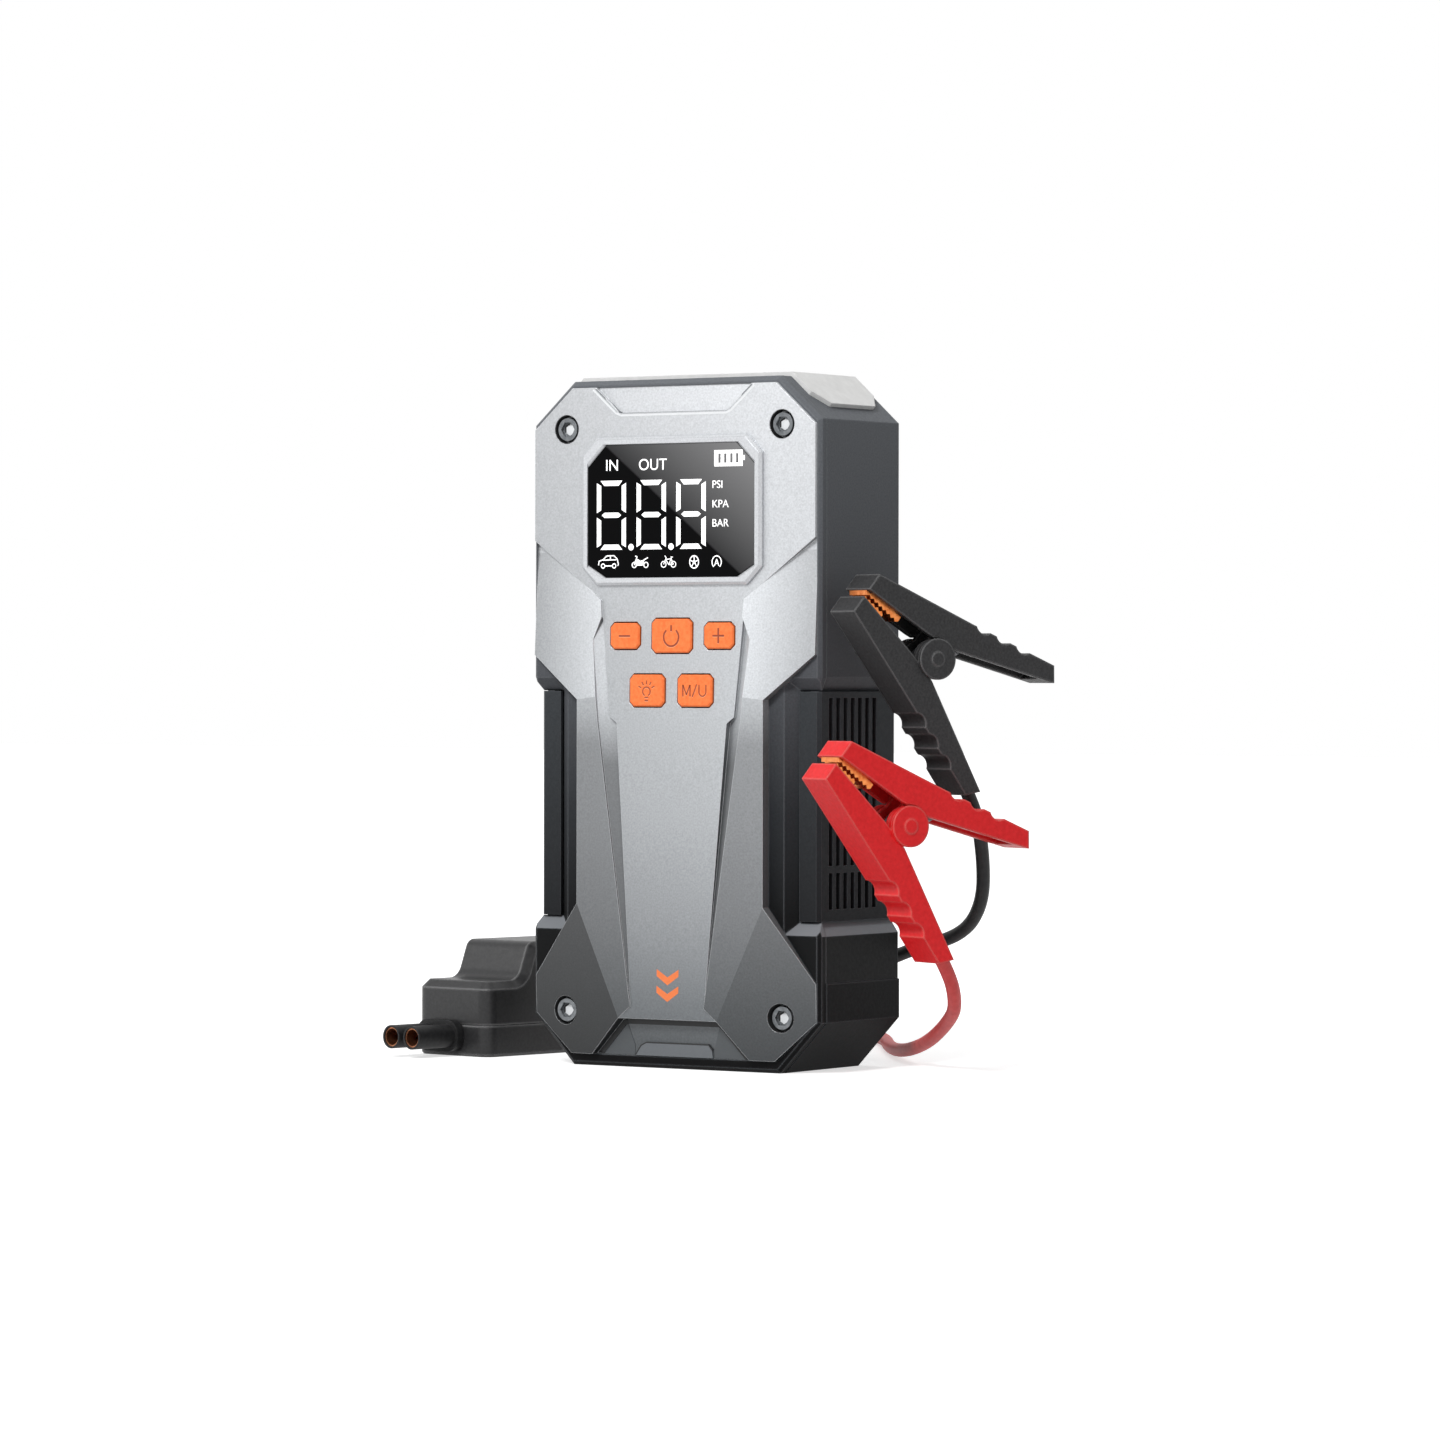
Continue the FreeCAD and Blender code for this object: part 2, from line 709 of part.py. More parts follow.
def foot_bumper():
    """The rubber foot that wraps the lower end of the tub."""
    def outline(inset):
        half = "%s + sizes.bumper_proud - %s" % (HALF, inset)
        return mirrored([
            (half, "sizes.bumper_height + %s" % inset),
            (half, "sizes.foot_corner_up + 0.6 * %s" % inset),
            ("%s - sizes.foot_corner_in + 0.4 * %s" % (half, inset), "%s" % inset),
        ])
    body = new_body("foot_bumper")
    depth = "%s + sizes.seam_front + sizes.bumper_proud" % REAR
    outer = pad(body, "bumper_walls", "XZ_Plane", "-(%s + sizes.bumper_proud)" % REAR, depth,
                outline("0"))
    chamfer(body, "bumper_rear_edge", outer, "sizes.rear_chamfer",
            edge_at("Y", size("case_rear") + size("bumper_proud")))
    bumper = cut("foot_bumper", body, shell_block("bumper_room"))
    return keep(bumper, "foot_bumper")


def shell_block(name):
    """The tub's outside as one block, for what wraps around it."""
    body = new_body(name)
    outer = pad(body, name + "_walls", "XZ_Plane", less(REAR), "%s + sizes.seam_front" % REAR,
                waist_outline("0"))
    chamfer(body, name + "_edge", outer, "sizes.rear_chamfer", edge_at("Y", size("case_rear")))
    return body


def button_places():
    """Name, centre and size of each button's face."""
    return (
        ("minus_button", "-sizes.side_button_x", "at.upper_button_z",
         "sizes.side_button_width", "sizes.side_button_height"),
        ("power_button", "0", "at.upper_button_z",
         "sizes.power_button_width", "sizes.power_button_height"),
        ("plus_button", "sizes.side_button_x", "at.upper_button_z",
         "sizes.side_button_width", "sizes.side_button_height"),
        ("light_button", "-sizes.lower_button_x", "at.lower_button_z",
         "sizes.lower_button_width", "sizes.lower_button_height"),
        ("mode_button", "sizes.lower_button_x", "at.lower_button_z",
         "sizes.lower_button_width", "sizes.lower_button_height"),
    )


def cover_outline(inset):
    half = "at.cover_half - %s" % inset
    return mirrored([
        ("at.ear_half", "at.ear_top - %s" % inset),
        (half, "at.ear_corner_z"),
        (half, "at.shoulder_side_z"),
        ("at.waist_half - %s" % inset, "at.waist_high_z"),
        ("at.waist_half - %s" % inset, "sizes.waist_low_z"),
        (half, "sizes.foot_side_high"),
        (half, "sizes.foot_side_low"),
        ("at.foot_corner_x", "sizes.foot_base_z + %s" % inset),
    ])


def screen_outline(grow):
    return octagon("sizes.screen_half + %s" % grow, "at.screen_low - (%s)" % grow,
                   "at.screen_high + %s" % grow, "sizes.screen_corner + 0.6 * (%s)" % grow)


def front_frame():
    """The dark front half of the case, sunk to take the cover."""
    body = new_body("front_frame")
    outer = pad(body, "frame_walls", "XZ_Plane", "sizes.seam_front",
                "sizes.frame_front - sizes.seam_front",
                frame_outline())
    chamfer(body, "frame_front_edge", outer, "sizes.frame_chamfer",
            edge_at("Y", -size("frame_front")))
    pocket(body, "cover_seat", "XZ_Plane", "sizes.frame_front",
           "sizes.frame_front - sizes.cover_back", cover_outline("0"))
    pocket(body, "screen_window", "XZ_Plane", "sizes.frame_front",
           "2 * sizes.frame_front - 2 * sizes.seam_front", screen_outline("-sizes.screen_rim"))
    tools = []
    for name, x, z, width, height in button_places():
        tools.append(rod(name + "_hole", "-Y", x, "-sizes.seam_front + 1", z,
                         "sizes.stem_radius + sizes.stem_hole_gap", "sizes.frame_front"))
    tools += screw_rods("frame_hole", "sizes.screw_shank_radius + sizes.screw_hole_gap")
    for side in (1, -1):
        tools.append(wrap_wedge(side))
    return keep(cut("front_frame", body, *tools), "front_frame")


def frame_outline():
    return mirrored([
        ("%s - sizes.top_corner_in" % HALF, "sizes.case_height"),
        (HALF, "sizes.case_height - sizes.top_corner_down"),
        (HALF, "at.waist_top"),
        (PANEL_FACE, "at.waist_top - sizes.waist_slope"),
        (PANEL_FACE, "sizes.waist_bottom + sizes.waist_slope"),
        (HALF, "sizes.waist_bottom"),
        (HALF, "sizes.foot_corner_up"),
        ("%s - sizes.foot_corner_in" % HALF, "0"),
    ])


def wrap_wedge(side):
    """The sloping recess where a side panel comes round to the front."""
    name = "wrap_right" if side > 0 else "wrap_left"
    thing = doc.addObject("Part::Wedge", name)
    inner = "%s - sizes.panel_wrap" % HALF
    outer = "%s + 1" % HALF
    low = "sizes.waist_bottom + sizes.waist_slope"
    high = "at.waist_top - sizes.waist_slope"
    slope = "sizes.wrap_slope"
    near_x = "%s - %s" % (inner, slope)
    bind(thing, Ymin="-sizes.frame_front - 0.01", Ymax="-sizes.seam_front + 0.01",
         Zmin="%s - %s" % (low, slope), Zmax="%s + %s" % (high, slope), Z2min=low, Z2max=high)
    if side > 0:
        bind(thing, Xmin=near_x, Xmax=outer, X2min=inner, X2max=outer)
    else:
        bind(thing, Xmin=less(outer), Xmax=less(near_x), X2min=less(outer), X2max=less(inner))
    return thing


def screw_rods(name, radius):
    rods = []
    for number, (x, z) in enumerate((
        (SCREW_X, "sizes.screw_low"), (less(SCREW_X), "sizes.screw_low"),
        (SCREW_X, "at.screw_high"), (less(SCREW_X), "at.screw_high"),
    )):
        rods.append(rod("%s_%d" % (name, number), "-Y", x, "0", z, radius,
                        "2 * sizes.frame_front"))
    return rods


def side_panels():
    """The grip panels that fill the waist and come round to the front."""
    for side, label in ((1, "right_side_panel"), (-1, "left_side_panel")):
        face = PANEL_FACE
        inner = "%s - sizes.waist_depth" % HALF
        wrap = "%s - sizes.panel_wrap + sizes.panel_gap" % HALF
        front = "-sizes.seam_front - sizes.panel_thickness"
        corners = [
            (wrap, "-sizes.seam_front - sizes.panel_gap"),
            (wrap, front),
            ("%s - sizes.frame_chamfer" % face, front),
            (face, "%s + sizes.frame_chamfer" % front),
            (face, "%s - sizes.rear_chamfer" % REAR),
            (inner, "%s - sizes.rear_chamfer" % REAR),
            (inner, "-sizes.seam_front - sizes.panel_gap"),
        ]
        if side < 0:
            corners = [(less(x), y) for x, y in corners]
        low = "sizes.waist_bottom + sizes.waist_slope + sizes.panel_gap"
        height = "at.waist_top - sizes.waist_bottom - 2 * sizes.waist_slope - 2 * sizes.panel_gap"
        body = new_body(label)
        pad(body, label + "_walls", "XY_Plane", low, height, corners)
        if side > 0:
            panel = cut(label, body, vent_tools("panel"))
        else:
            window = block("panel_window", less(HALF),
                           "sizes.port_opening_y - sizes.port_opening_width / 2",
                           "at.port_opening_z - at.port_opening_length / 2",
                           "sizes.waist_depth + sizes.case_wall", "sizes.port_opening_width",
                           "at.port_opening_length")
            panel = cut(label, body, window)
        keep(panel, label)


def facet(corners, plane, back):
    """A flat-faced prism: an outline seen from the front, its face on a sloping plane."""
    def face_point(x, z):
        (x1, z1, d1), (x2, z2, d2), (x3, z3, d3) = plane
        across = (x2 - x1) * (z3 - z1) - (x3 - x1) * (z2 - z1)
        slope_x = ((d2 - d1) * (z3 - z1) - (d3 - d1) * (z2 - z1)) / across
        slope_z = ((x2 - x1) * (d3 - d1) - (x3 - x1) * (d2 - d1)) / across
        depth = d1 + slope_x * (x - x1) + slope_z * (z - z1)
        return FreeCAD.Vector(x, depth - size("face_front"), z)
    front = [face_point(x, z) for x, z in corners]
    rear = [FreeCAD.Vector(x, back, z) for x, z in corners]
    count = len(corners)
    faces = [
        Part.Face(Part.makePolygon(front + front[:1])),
        Part.Face(Part.makePolygon(rear + rear[:1])),
    ]
    for index in range(count):
        after = (index + 1) % count
        ring = [front[index], front[after], rear[after], rear[index], front[index]]
        faces.append(Part.Face(Part.makePolygon(ring)))
    solid = Part.Solid(Part.Shell(faces))
    if solid.Volume < 0:
        solid.reverse()
    return solid


def flip(shape):
    """The same shape on the other side of the middle plane."""
    return shape.mirror(FreeCAD.Vector(), FreeCAD.Vector(1, 0, 0))


def front_cover():
    """The silver cover: flat facets that meet along sharp creases."""
    s = size
    back = -s("cover_back")
    plate = -s("plate_relief")
    half = spot("cover_half")
    step_side = (half, spot("step_side_z"))
    step_inner = (s("step_inner_x"), spot("step_inner_z"))
    shoulder_side = (half, spot("shoulder_side_z"))
    shoulder_inner = (s("shoulder_inner_x"), spot("shoulder_inner_z"))
    slit_top = (s("slit_top_x"), spot("slit_top_z"))
    waist_high = (spot("waist_half"), spot("waist_high_z"))
    waist_low = (spot("waist_half"), s("waist_low_z"))
    leg_inner = (s("leg_inner_x"), spot("leg_inner_z"))
    slit_end = (s("slit_end_x"), s("slit_end_z"))
    toe = (s("toe_x"), s("toe_z"))
    panel_step = (s("panel_step_x"), spot("panel_step_z"))
    panel_edge = (s("panel_edge_x"), spot("panel_edge_z"))
    foot_high = (half, s("foot_side_high"))
    foot_low = (half, s("foot_side_low"))
    foot_corner = (spot("foot_corner_x"), s("foot_base_z"))
    foot_notch = (s("foot_notch_x"), s("foot_base_z"))
    ear_corner = (half, spot("ear_corner_z"))
    ear_top = (spot("ear_half"), spot("ear_top"))
    notch_outer = (s("notch_outer"), spot("ear_top"))
    notch_inner = (s("notch_inner"), spot("notch_bottom"))

    arm_plane = (
        shoulder_inner + (-s("shoulder_inner_relief"),),
        shoulder_side + (-s("shoulder_side_relief"),),
        waist_high + (-s("leg_relief"),),
    )
    leg_plane = (
        waist_high + (-s("leg_relief"),),
        waist_low + (-s("leg_relief"),),
        toe + (-s("toe_relief"),),
    )
    # The crease between arm and leg meets the slit's edge at this height
    crease_z = spot("waist_high_z") + 0.8
    crease_x = leg_inner[0] + (shoulder_inner[0] - leg_inner[0]) * (
        (crease_z - leg_inner[1]) / (shoulder_inner[1] - leg_inner[1]))
    crease = (crease_x, crease_z)

    right = [
        facet([step_side, shoulder_side, shoulder_inner, slit_top, step_inner],
              (step_side + (s("shoulder_drop"),),) + arm_plane[:2], back),
        facet([shoulder_inner, shoulder_side, waist_high, crease], arm_plane, back),
        facet([crease, waist_high, waist_low, toe, slit_end, leg_inner], leg_plane, back),
        facet([waist_low, foot_high, foot_low, foot_corner, foot_notch, toe],
              (waist_low + (-s("leg_relief"),), toe + (-s("toe_relief"),),
               foot_high + (s("foot_side_drop"),)), back),
        facet([slit_top, shoulder_inner, crease, leg_inner, slit_end, panel_edge, panel_step],
              (shoulder_inner + (0.2 - s("shoulder_inner_relief"),),
               slit_end + (0.2 - s("toe_relief"),),
               panel_edge + (s("slit_depth"),)), back),
    ]
    middle_plane = (
        (0.0, spot("step_inner_z"), plate),
        (1.0, spot("step_inner_z"), plate),
        (0.0, s("toe_z"), 0.1 - s("toe_relief")),
    )

    def across(corners):
        return corners + [(-x, z) for x, z in reversed(corners)]
    middle = [
        facet(across([notch_inner, notch_outer, ear_top, ear_corner, step_side, step_inner]),
              ((0.0, 0.0, plate), (1.0, 0.0, plate), (0.0, 1.0, plate)), back),
        facet(across([notch_outer, notch_inner]),
              ((0.0, spot("notch_bottom"), s("notch_depth") / 2),
               (1.0, spot("notch_bottom"), s("notch_depth") / 2),
               (0.0, spot("ear_top"), s("notch_depth"))), back),
        facet(across([step_inner, slit_top, panel_step, panel_edge, slit_end, toe]),
              middle_plane, back),
        facet(across([toe, foot_notch]),
              ((0.0, s("toe_z"), s("foot_notch_drop")), (1.0, s("toe_z"), s("foot_notch_drop")),
               (0.0, s("foot_base_z"), 2 * s("foot_notch_drop"))), back),
    ]
    solid = middle[0].multiFuse(middle[1:] + right + [flip(block) for block in right])
    solid = solid.removeSplitter()
    form = doc.addObject("Part::Feature", "cover_facets")
    form.Shape = solid

    body = new_body("cover_windows")
    pad(body, "cover_window_forms", "XZ_Plane", "0", "2 * sizes.face_front",
        screen_outline("-sizes.screen_lip"))
    tools = [body]
    for name, x, z, width, height in button_places():
        hole = new_body(name + "_window")
        pad(hole, name + "_window_form", "XZ_Plane", "0", "2 * sizes.face_front",
            cut_corner_box(x, z, "(%s + 2 * sizes.button_gap)" % width,
                           "(%s + 2 * sizes.button_gap)" % height,
                           "(sizes.button_corner + 0.6 * sizes.button_gap)"))
        tools.append(hole)
    tools += screw_rods("cover_hole", "sizes.screw_shank_radius + sizes.screw_hole_gap")
    for number, (x, z) in enumerate((
        (SCREW_X, "sizes.screw_low"), (less(SCREW_X), "sizes.screw_low"),
        (SCREW_X, "at.screw_high"), (less(SCREW_X), "at.screw_high"),
    )):
        tools.append(rod("screw_recess_%d" % number, "-Y", x,
                         "-sizes.face_front + sizes.screw_head_height", z,
                         "sizes.screw_head_radius + sizes.screw_recess_gap", "10"))
    return keep(cut("front_cover", form, *tools), "front_cover")


def front_screws():
    """Four socket screws, one node."""
    screws = []
    for number, (x, z) in enumerate((
        (SCREW_X, "sizes.screw_low"), (less(SCREW_X), "sizes.screw_low"),
        (SCREW_X, "at.screw_high"), (less(SCREW_X), "at.screw_high"),
    )):
        seat = "-sizes.face_front + sizes.screw_head_height"
        head = cone("screw_head_%d" % number, "-Y", x, seat, z, "sizes.screw_head_radius",
                    "0.9 * sizes.screw_head_radius", "sizes.screw_head_height - 0.2")
        shank = rod("screw_shank_%d" % number, "+Y", x, "%s - 0.1" % seat, z,
                    "sizes.screw_shank_radius",
                    "sizes.screw_length - sizes.face_front + sizes.seam_front + 0.1")
        socket = doc.addObject("Part::Prism", "screw_socket_%d" % number)
        socket.Polygon = 6
        bind(socket, Circumradius="sizes.screw_socket_width / 2",
             Height="2 * sizes.screw_socket_depth")
        place(socket, x, "-sizes.face_front + sizes.screw_socket_depth", z, TURN_TO["-Y"])
        screws.append(cut("screw_%d" % number, fuse("screw_form_%d" % number, head, shank),
                          socket))
    return keep(group("front_screws", *screws), "front_screws")


def display():
    """Raised rim, glass and the light module behind it."""
    plate = "(sizes.face_front + sizes.plate_relief)"
    rim_front = "%s + sizes.screen_proud" % plate
    rim = new_body("display_bezel")
    flange = pad(rim, "rim_flange", "XZ_Plane", plate, "sizes.screen_proud",
                 screen_outline("0"), screen_outline("-sizes.screen_rim"))
    chamfer(rim, "rim_edge", flange, "0.5 * sizes.screen_proud",
            lambda edge: edge_at("Y", -value(rim_front))(edge) and outer_edge(edge))
    pad(rim, "rim_sleeve", "XZ_Plane", "sizes.cover_back", "%s - sizes.cover_back" % plate,
        screen_outline("-sizes.screen_lip - 0.05"), screen_outline("-sizes.screen_rim"))
    keep(rim, "display_bezel")
    glass_front = "%s - sizes.glass_recess" % rim_front
    glass = new_body("display_glass")
    pad(glass, "glass_plate", "XZ_Plane", "%s - sizes.glass_thickness" % glass_front,
        "sizes.glass_thickness", screen_outline("-sizes.screen_rim - 0.05"))
    keep(glass, "display_glass")
    module = new_body("display_module")
    module_back = "%s - sizes.glass_thickness - sizes.module_thickness" % glass_front
    pad(module, "module_plate", "XZ_Plane", module_back,
        "sizes.module_thickness", screen_outline("-sizes.screen_rim - 0.3"))
    pad(module, "module_legs", "XZ_Plane", "sizes.board_front", "%s - sizes.board_front" % module_back,
        cut_corner_box("0.75 * sizes.screen_half", "(at.screen_low + at.screen_high) / 2",
                       "sizes.leg_width", "sizes.leg_height", "sizes.leg_width / 4"),
        cut_corner_box("-0.75 * sizes.screen_half", "(at.screen_low + at.screen_high) / 2",
                       "sizes.leg_width", "sizes.leg_height", "sizes.leg_width / 4"))
    keep(module, "display_module")


def outer_edge(edge):
    """True for the edges of the screen rim's outside corner line."""
    box = edge.BoundBox
    middle_z = (spot("screen_low") + spot("screen_high")) / 2
    half_height = (spot("screen_high") - spot("screen_low")) / 2
    far_x = max(abs(box.XMin), abs(box.XMax))
    far_z = max(abs(box.ZMin - middle_z), abs(box.ZMax - middle_z))
    lip = size("screen_rim") / 2
    corner = size("screen_half") + half_height - size("screen_corner")
    return (far_x > size("screen_half") - lip or far_z > half_height - lip
            or far_x + far_z > corner)


def buttons():
    """Five keys, each with a stem through the frame and a clip behind it."""
    for name, x, z, width, height in button_places():
        body = new_body(name)
        drop = "(%s - %s) / (at.step_inner_z - sizes.toe_z)" % (
            "sizes.toe_relief", "sizes.plate_relief")
        face = "(sizes.face_front + sizes.plate_relief + (at.step_inner_z - %s) * %s)" % (z, drop)
        front = "%s + sizes.button_proud" % face
        cap = pad(body, name + "_cap", "XZ_Plane", "sizes.button_back",
                  "%s - sizes.button_back" % front,
                  cut_corner_box(x, z, width, height, "sizes.button_corner"))
        chamfer(body, name + "_edge", cap, "0.4", edge_at("Y", -value(front)))
        stem = rod(name + "_stem", "-Y", x, "-sizes.stem_end", z, "sizes.stem_radius",
                   "sizes.button_back - sizes.stem_end + 0.2")
        clip = rod(name + "_clip", "-Y", x, "-sizes.stem_end", z, "sizes.clip_radius",
                   "sizes.clip_thickness")
        keep(fuse(name, body, stem, clip), name)


def button_pad():
    """The rubber sheet with a dome under each stem, and the control board behind it."""
    left = "-sizes.side_button_x - sizes.side_button_width / 2 - sizes.pad_margin"
    low = "at.lower_button_z - sizes.lower_button_height / 2 - sizes.pad_margin"
    high = "at.upper_button_z + sizes.power_button_height / 2 + sizes.pad_margin"
    base = block("pad_sheet", left, "-sizes.pad_front + 0.6", low, less("2 * (%s)" % left),
                 "sizes.board_front + 0.01", "%s - (%s)" % (high, low))
    bind(base, Width="sizes.pad_front - 0.6 - sizes.board_front")
    domes = []
    for name, x, z, width, height in button_places():
        domes.append(cone(name + "_dome", "-Y", x, "-sizes.pad_front + 0.7", z,
                          "sizes.clip_radius", "sizes.stem_radius", "0.7"))
    keep(fuse("button_pad", base, *domes), "button_pad")
    board = block("control_plate", "-sizes.board_width / 2", "-sizes.board_front",
                  "at.board_low", "sizes.board_width", "sizes.board_thickness",
                  "at.board_high - at.board_low")
    pillars = []
    inset = "sizes.board_width / 2 - 1.3 * sizes.pillar_radius"
    for x in (inset, less(inset)):
        for z in ("at.board_low + 2 * sizes.pillar_radius", "at.board_high - 3 * sizes.pillar_radius"):
            pillars.append(rod("board_pillar_%d" % len(pillars), "-Y", x, "-sizes.board_front + 0.1", z,
                               "sizes.pillar_radius",
                               "sizes.seam_front - sizes.board_front + 0.1"))
    keep(fuse("control_board", board, *pillars), "control_board")


def diffuser_outline(inner, outer, drop):
    """The light band over the top, between two offsets from the case's own top."""
    run = "sqrt(sizes.top_corner_in ^ 2 + sizes.top_corner_down ^ 2)"
    normal_x = "(sizes.top_corner_down / %s)" % run
    normal_z = "(sizes.top_corner_in / %s)" % run
    bend = "(sizes.top_corner_down / (%s + sizes.top_corner_in))" % run
    share = "(%s / sizes.top_corner_down)" % drop
    corner_x = "(%s - sizes.top_corner_in)" % HALF

    def corner(offset):
        return ("%s + (%s) * %s" % (corner_x, offset, bend), "sizes.case_height + %s" % offset)

    def end(offset):
        return ("%s + sizes.top_corner_in * %s + (%s) * %s" % (corner_x, share, offset, normal_x),
                "sizes.case_height - %s + (%s) * %s" % (drop, offset, normal_z))
    right = [corner(outer), end(outer), end(inner), corner(inner)]
    left = [(less(x), z) for x, z in reversed(right)]
    return right[:3] + right[3:] + left


def diffuser_form(name):
    body = new_body(name)
    inner = "sizes.diffuser_proud - sizes.diffuser_thickness"
    band = pad(body, name + "_band", "XZ_Plane", less("sizes.diffuser_back"),
               "sizes.diffuser_back + sizes.diffuser_front",
               diffuser_outline(inner, "sizes.diffuser_proud", "sizes.diffuser_drop"))
    thickness = size("diffuser_thickness")

    def end_corner(edge):
        box = edge.BoundBox
        flat = near(box.YMin, box.YMax)
        end_x = size("case_width") / 2 - size("top_corner_in") + 2
        return flat and near(edge.Length, thickness) and min(abs(box.XMin), abs(box.XMax)) > end_x
    chamfer(body, name + "_corners", band, "sizes.diffuser_corner", end_corner)
    return body


def light():
    """The pale light band over the top edge, and its board of lights."""
    keep(diffuser_form("light_diffuser"), "light_diffuser")
    below = "sizes.case_height + sizes.diffuser_proud - sizes.diffuser_thickness - sizes.light_post_height"
    middle_y = "(sizes.diffuser_back - sizes.diffuser_front) / 2"
    board = block("light_board_plate", "-at.light_board_width / 2 + 1",
                  "%s - sizes.light_board_depth / 2" % middle_y,
                  "%s - sizes.light_board_thickness" % below, "at.light_board_width - 2",
                  "sizes.light_board_depth", "sizes.light_board_thickness")
    lights = []
    for number in range(int(size("light_count"))):
        x = "(%d - (sizes.light_count - 1) / 2) * sizes.light_pitch - sizes.light_size / 2" % number
        lights.append(block("light_chip_%d" % number, x, "%s - sizes.light_size / 2" % middle_y,
                            "%s - 0.1" % below, "sizes.light_size", "sizes.light_size",
                            "0.8 * sizes.light_post_height"))
    posts = []
    for number, side in enumerate((-1, 1)):
        x = "(%d) * at.light_board_width * 0.45 - sizes.light_size / 2" % side
        posts.append(block("light_post_%d" % number, x, "%s - sizes.light_board_depth / 2" % middle_y,
                           "%s - 0.1" % below, "sizes.light_size", "sizes.light_board_depth",
                           "sizes.light_post_height + 0.1"))
    keep(fuse("light_board", board, *lights, *posts), "light_board")


def battery():
    """Four flat cells in a tray."""
    cells = []
    for number in range(int(size("cell_count"))):
        y = "sizes.battery_front + %d * (sizes.cell_thickness + sizes.cell_gap)" % number
        cells.append(block("cell_%d" % number, "-at.battery_width / 2", y,
                           "%s + sizes.tray_wall" % FLOOR,
                           "at.battery_width", "sizes.cell_thickness",
                           "at.battery_height"))
    keep(group("battery_cells", *cells), "battery_cells")
    depth = "sizes.cell_count * (sizes.cell_thickness + sizes.cell_gap)"
    gap = "sizes.cell_gap"
    outer = block("tray_outer", "-at.battery_width / 2 - %s - sizes.tray_wall" % gap,
                  "sizes.battery_front", FLOOR,
                  "at.battery_width + 2 * %s + 2 * sizes.tray_wall" % gap,
                  "%s + sizes.tray_wall" % depth, "at.battery_height * 0.7")
    inner = block("tray_inner", "-at.battery_width / 2 - %s" % gap,
                  "sizes.battery_front - 1", "%s + sizes.tray_wall" % FLOOR,
                  "at.battery_width + 2 * %s" % gap, "%s + 1" % depth,
                  "at.battery_height")
    keep(cut("battery_tray", outer, inner), "battery_tray")


def compressor():
    """Motor below, sealed crankcase, finned cylinder and head to the right."""
    x = "at.compressor_x"
    y = "sizes.motor_y"
    can = rod("motor_can", "+Z", x, y, "at.motor_low", "sizes.motor_radius",
              "sizes.motor_length")
    cap = rod("motor_cap", "+Z", x, y, "at.motor_low - 2", "0.35 * sizes.motor_radius", "2.5")
    keep(fuse("compressor_motor", can, cap), "compressor_motor")
    low = "at.motor_low + sizes.motor_length"
    case = block("crank_block", "%s - sizes.crankcase_size / 2" % x,
                 "%s - sizes.crankcase_size / 2" % y, low, "sizes.crankcase_size",
                 "sizes.crankcase_size", "sizes.crankcase_height")
    lid = rod("crank_lid", "+Z", x, y, "%s + sizes.crankcase_height - 0.1" % low,
              "0.4 * sizes.crankcase_size", "2")
    foot = block("crank_mount", "%s - sizes.mount_width / 2" % x,
                 "%s + sizes.crankcase_size / 2 - 0.1" % y, low, "sizes.mount_width",
                 "%s - sizes.case_wall - %s - sizes.crankcase_size / 2 + 0.1" % (REAR, y),
                 "sizes.crankcase_height")
    keep(fuse("crankcase", case, lid, foot), "crankcase")
    start = "%s + sizes.crankcase_size / 2" % x
    middle = "%s + sizes.crankcase_height / 2" % low
    barrel = rod("cylinder_barrel", "+X", start, y, middle, "sizes.cylinder_radius",
                 "sizes.cylinder_length")
    fins = []
    for number in range(int(size("fin_count"))):
        fins.append(rod("cylinder_fin_%d" % number, "+X",
                        "%s + %d * sizes.fin_pitch + sizes.fin_pitch" % (start, number), y, middle,
                        "sizes.fin_radius", "sizes.fin_thickness"))
    keep(fuse("compressor_cylinder", barrel, *fins), "compressor_cylinder")
    head = rod("head_disc", "+X", "%s + sizes.cylinder_length" % start, y, middle,
               "sizes.fin_radius", "sizes.head_thickness")
    barb = rod("head_barb", "+Z", "%s + sizes.cylinder_length + sizes.head_thickness / 2" % start,
               y, "%s - sizes.fin_radius - sizes.barb_length" % middle, "sizes.hose_radius",
               "2 * sizes.barb_length")
    keep(fuse("cylinder_head", head, barb), "cylinder_head")
    outlet = (-spot("port_inner"), 0.0, spot("outlet_z"))
    route = [[place + step for place, step in zip(outlet, point)] for point in INNER_HOSE_ROUTE]
    cable("inner_air_hose", route, size("hose_radius"))


def corner_route(points, radius):
    """A tube along straight runs joined by tangent arcs as large as the runs allow."""
    points = [FreeCAD.Vector(*point) for point in points]
    edges = []
    radii = []
    start = points[0]
    for before, corner, after in zip(points, points[1:], points[2:]):
        back = (before - corner)
        ahead = (after - corner)
        half_turn = (math.pi - back.getAngle(ahead)) / 2
        trim = 0.45 * min(back.Length, ahead.Length)
        radii.append(trim / math.tan(half_turn))
        back.normalize()
        ahead.normalize()
        first = corner + back * trim
        last = corner + ahead * trim
        bisector = back + ahead
        bisector.normalize()
        reach = math.hypot(trim, radii[-1])
        middle = corner + bisector * (reach - radii[-1])
        edges.append(Part.makeLine(start, first))
        edges.append(Part.Arc(first, middle, last).toShape())
        start = last
    edges.append(Part.makeLine(start, points[-1]))
    path = Part.Wire(edges)
    way = points[1] - points[0]
    section = Part.Wire([Part.makeCircle(radius, points[0], way)])
    tube = path.makePipeShell([section], True, False)
    expected = math.pi * radius ** 2 * path.Length
    return tube, path.Length, radii, tube.Volume / expected


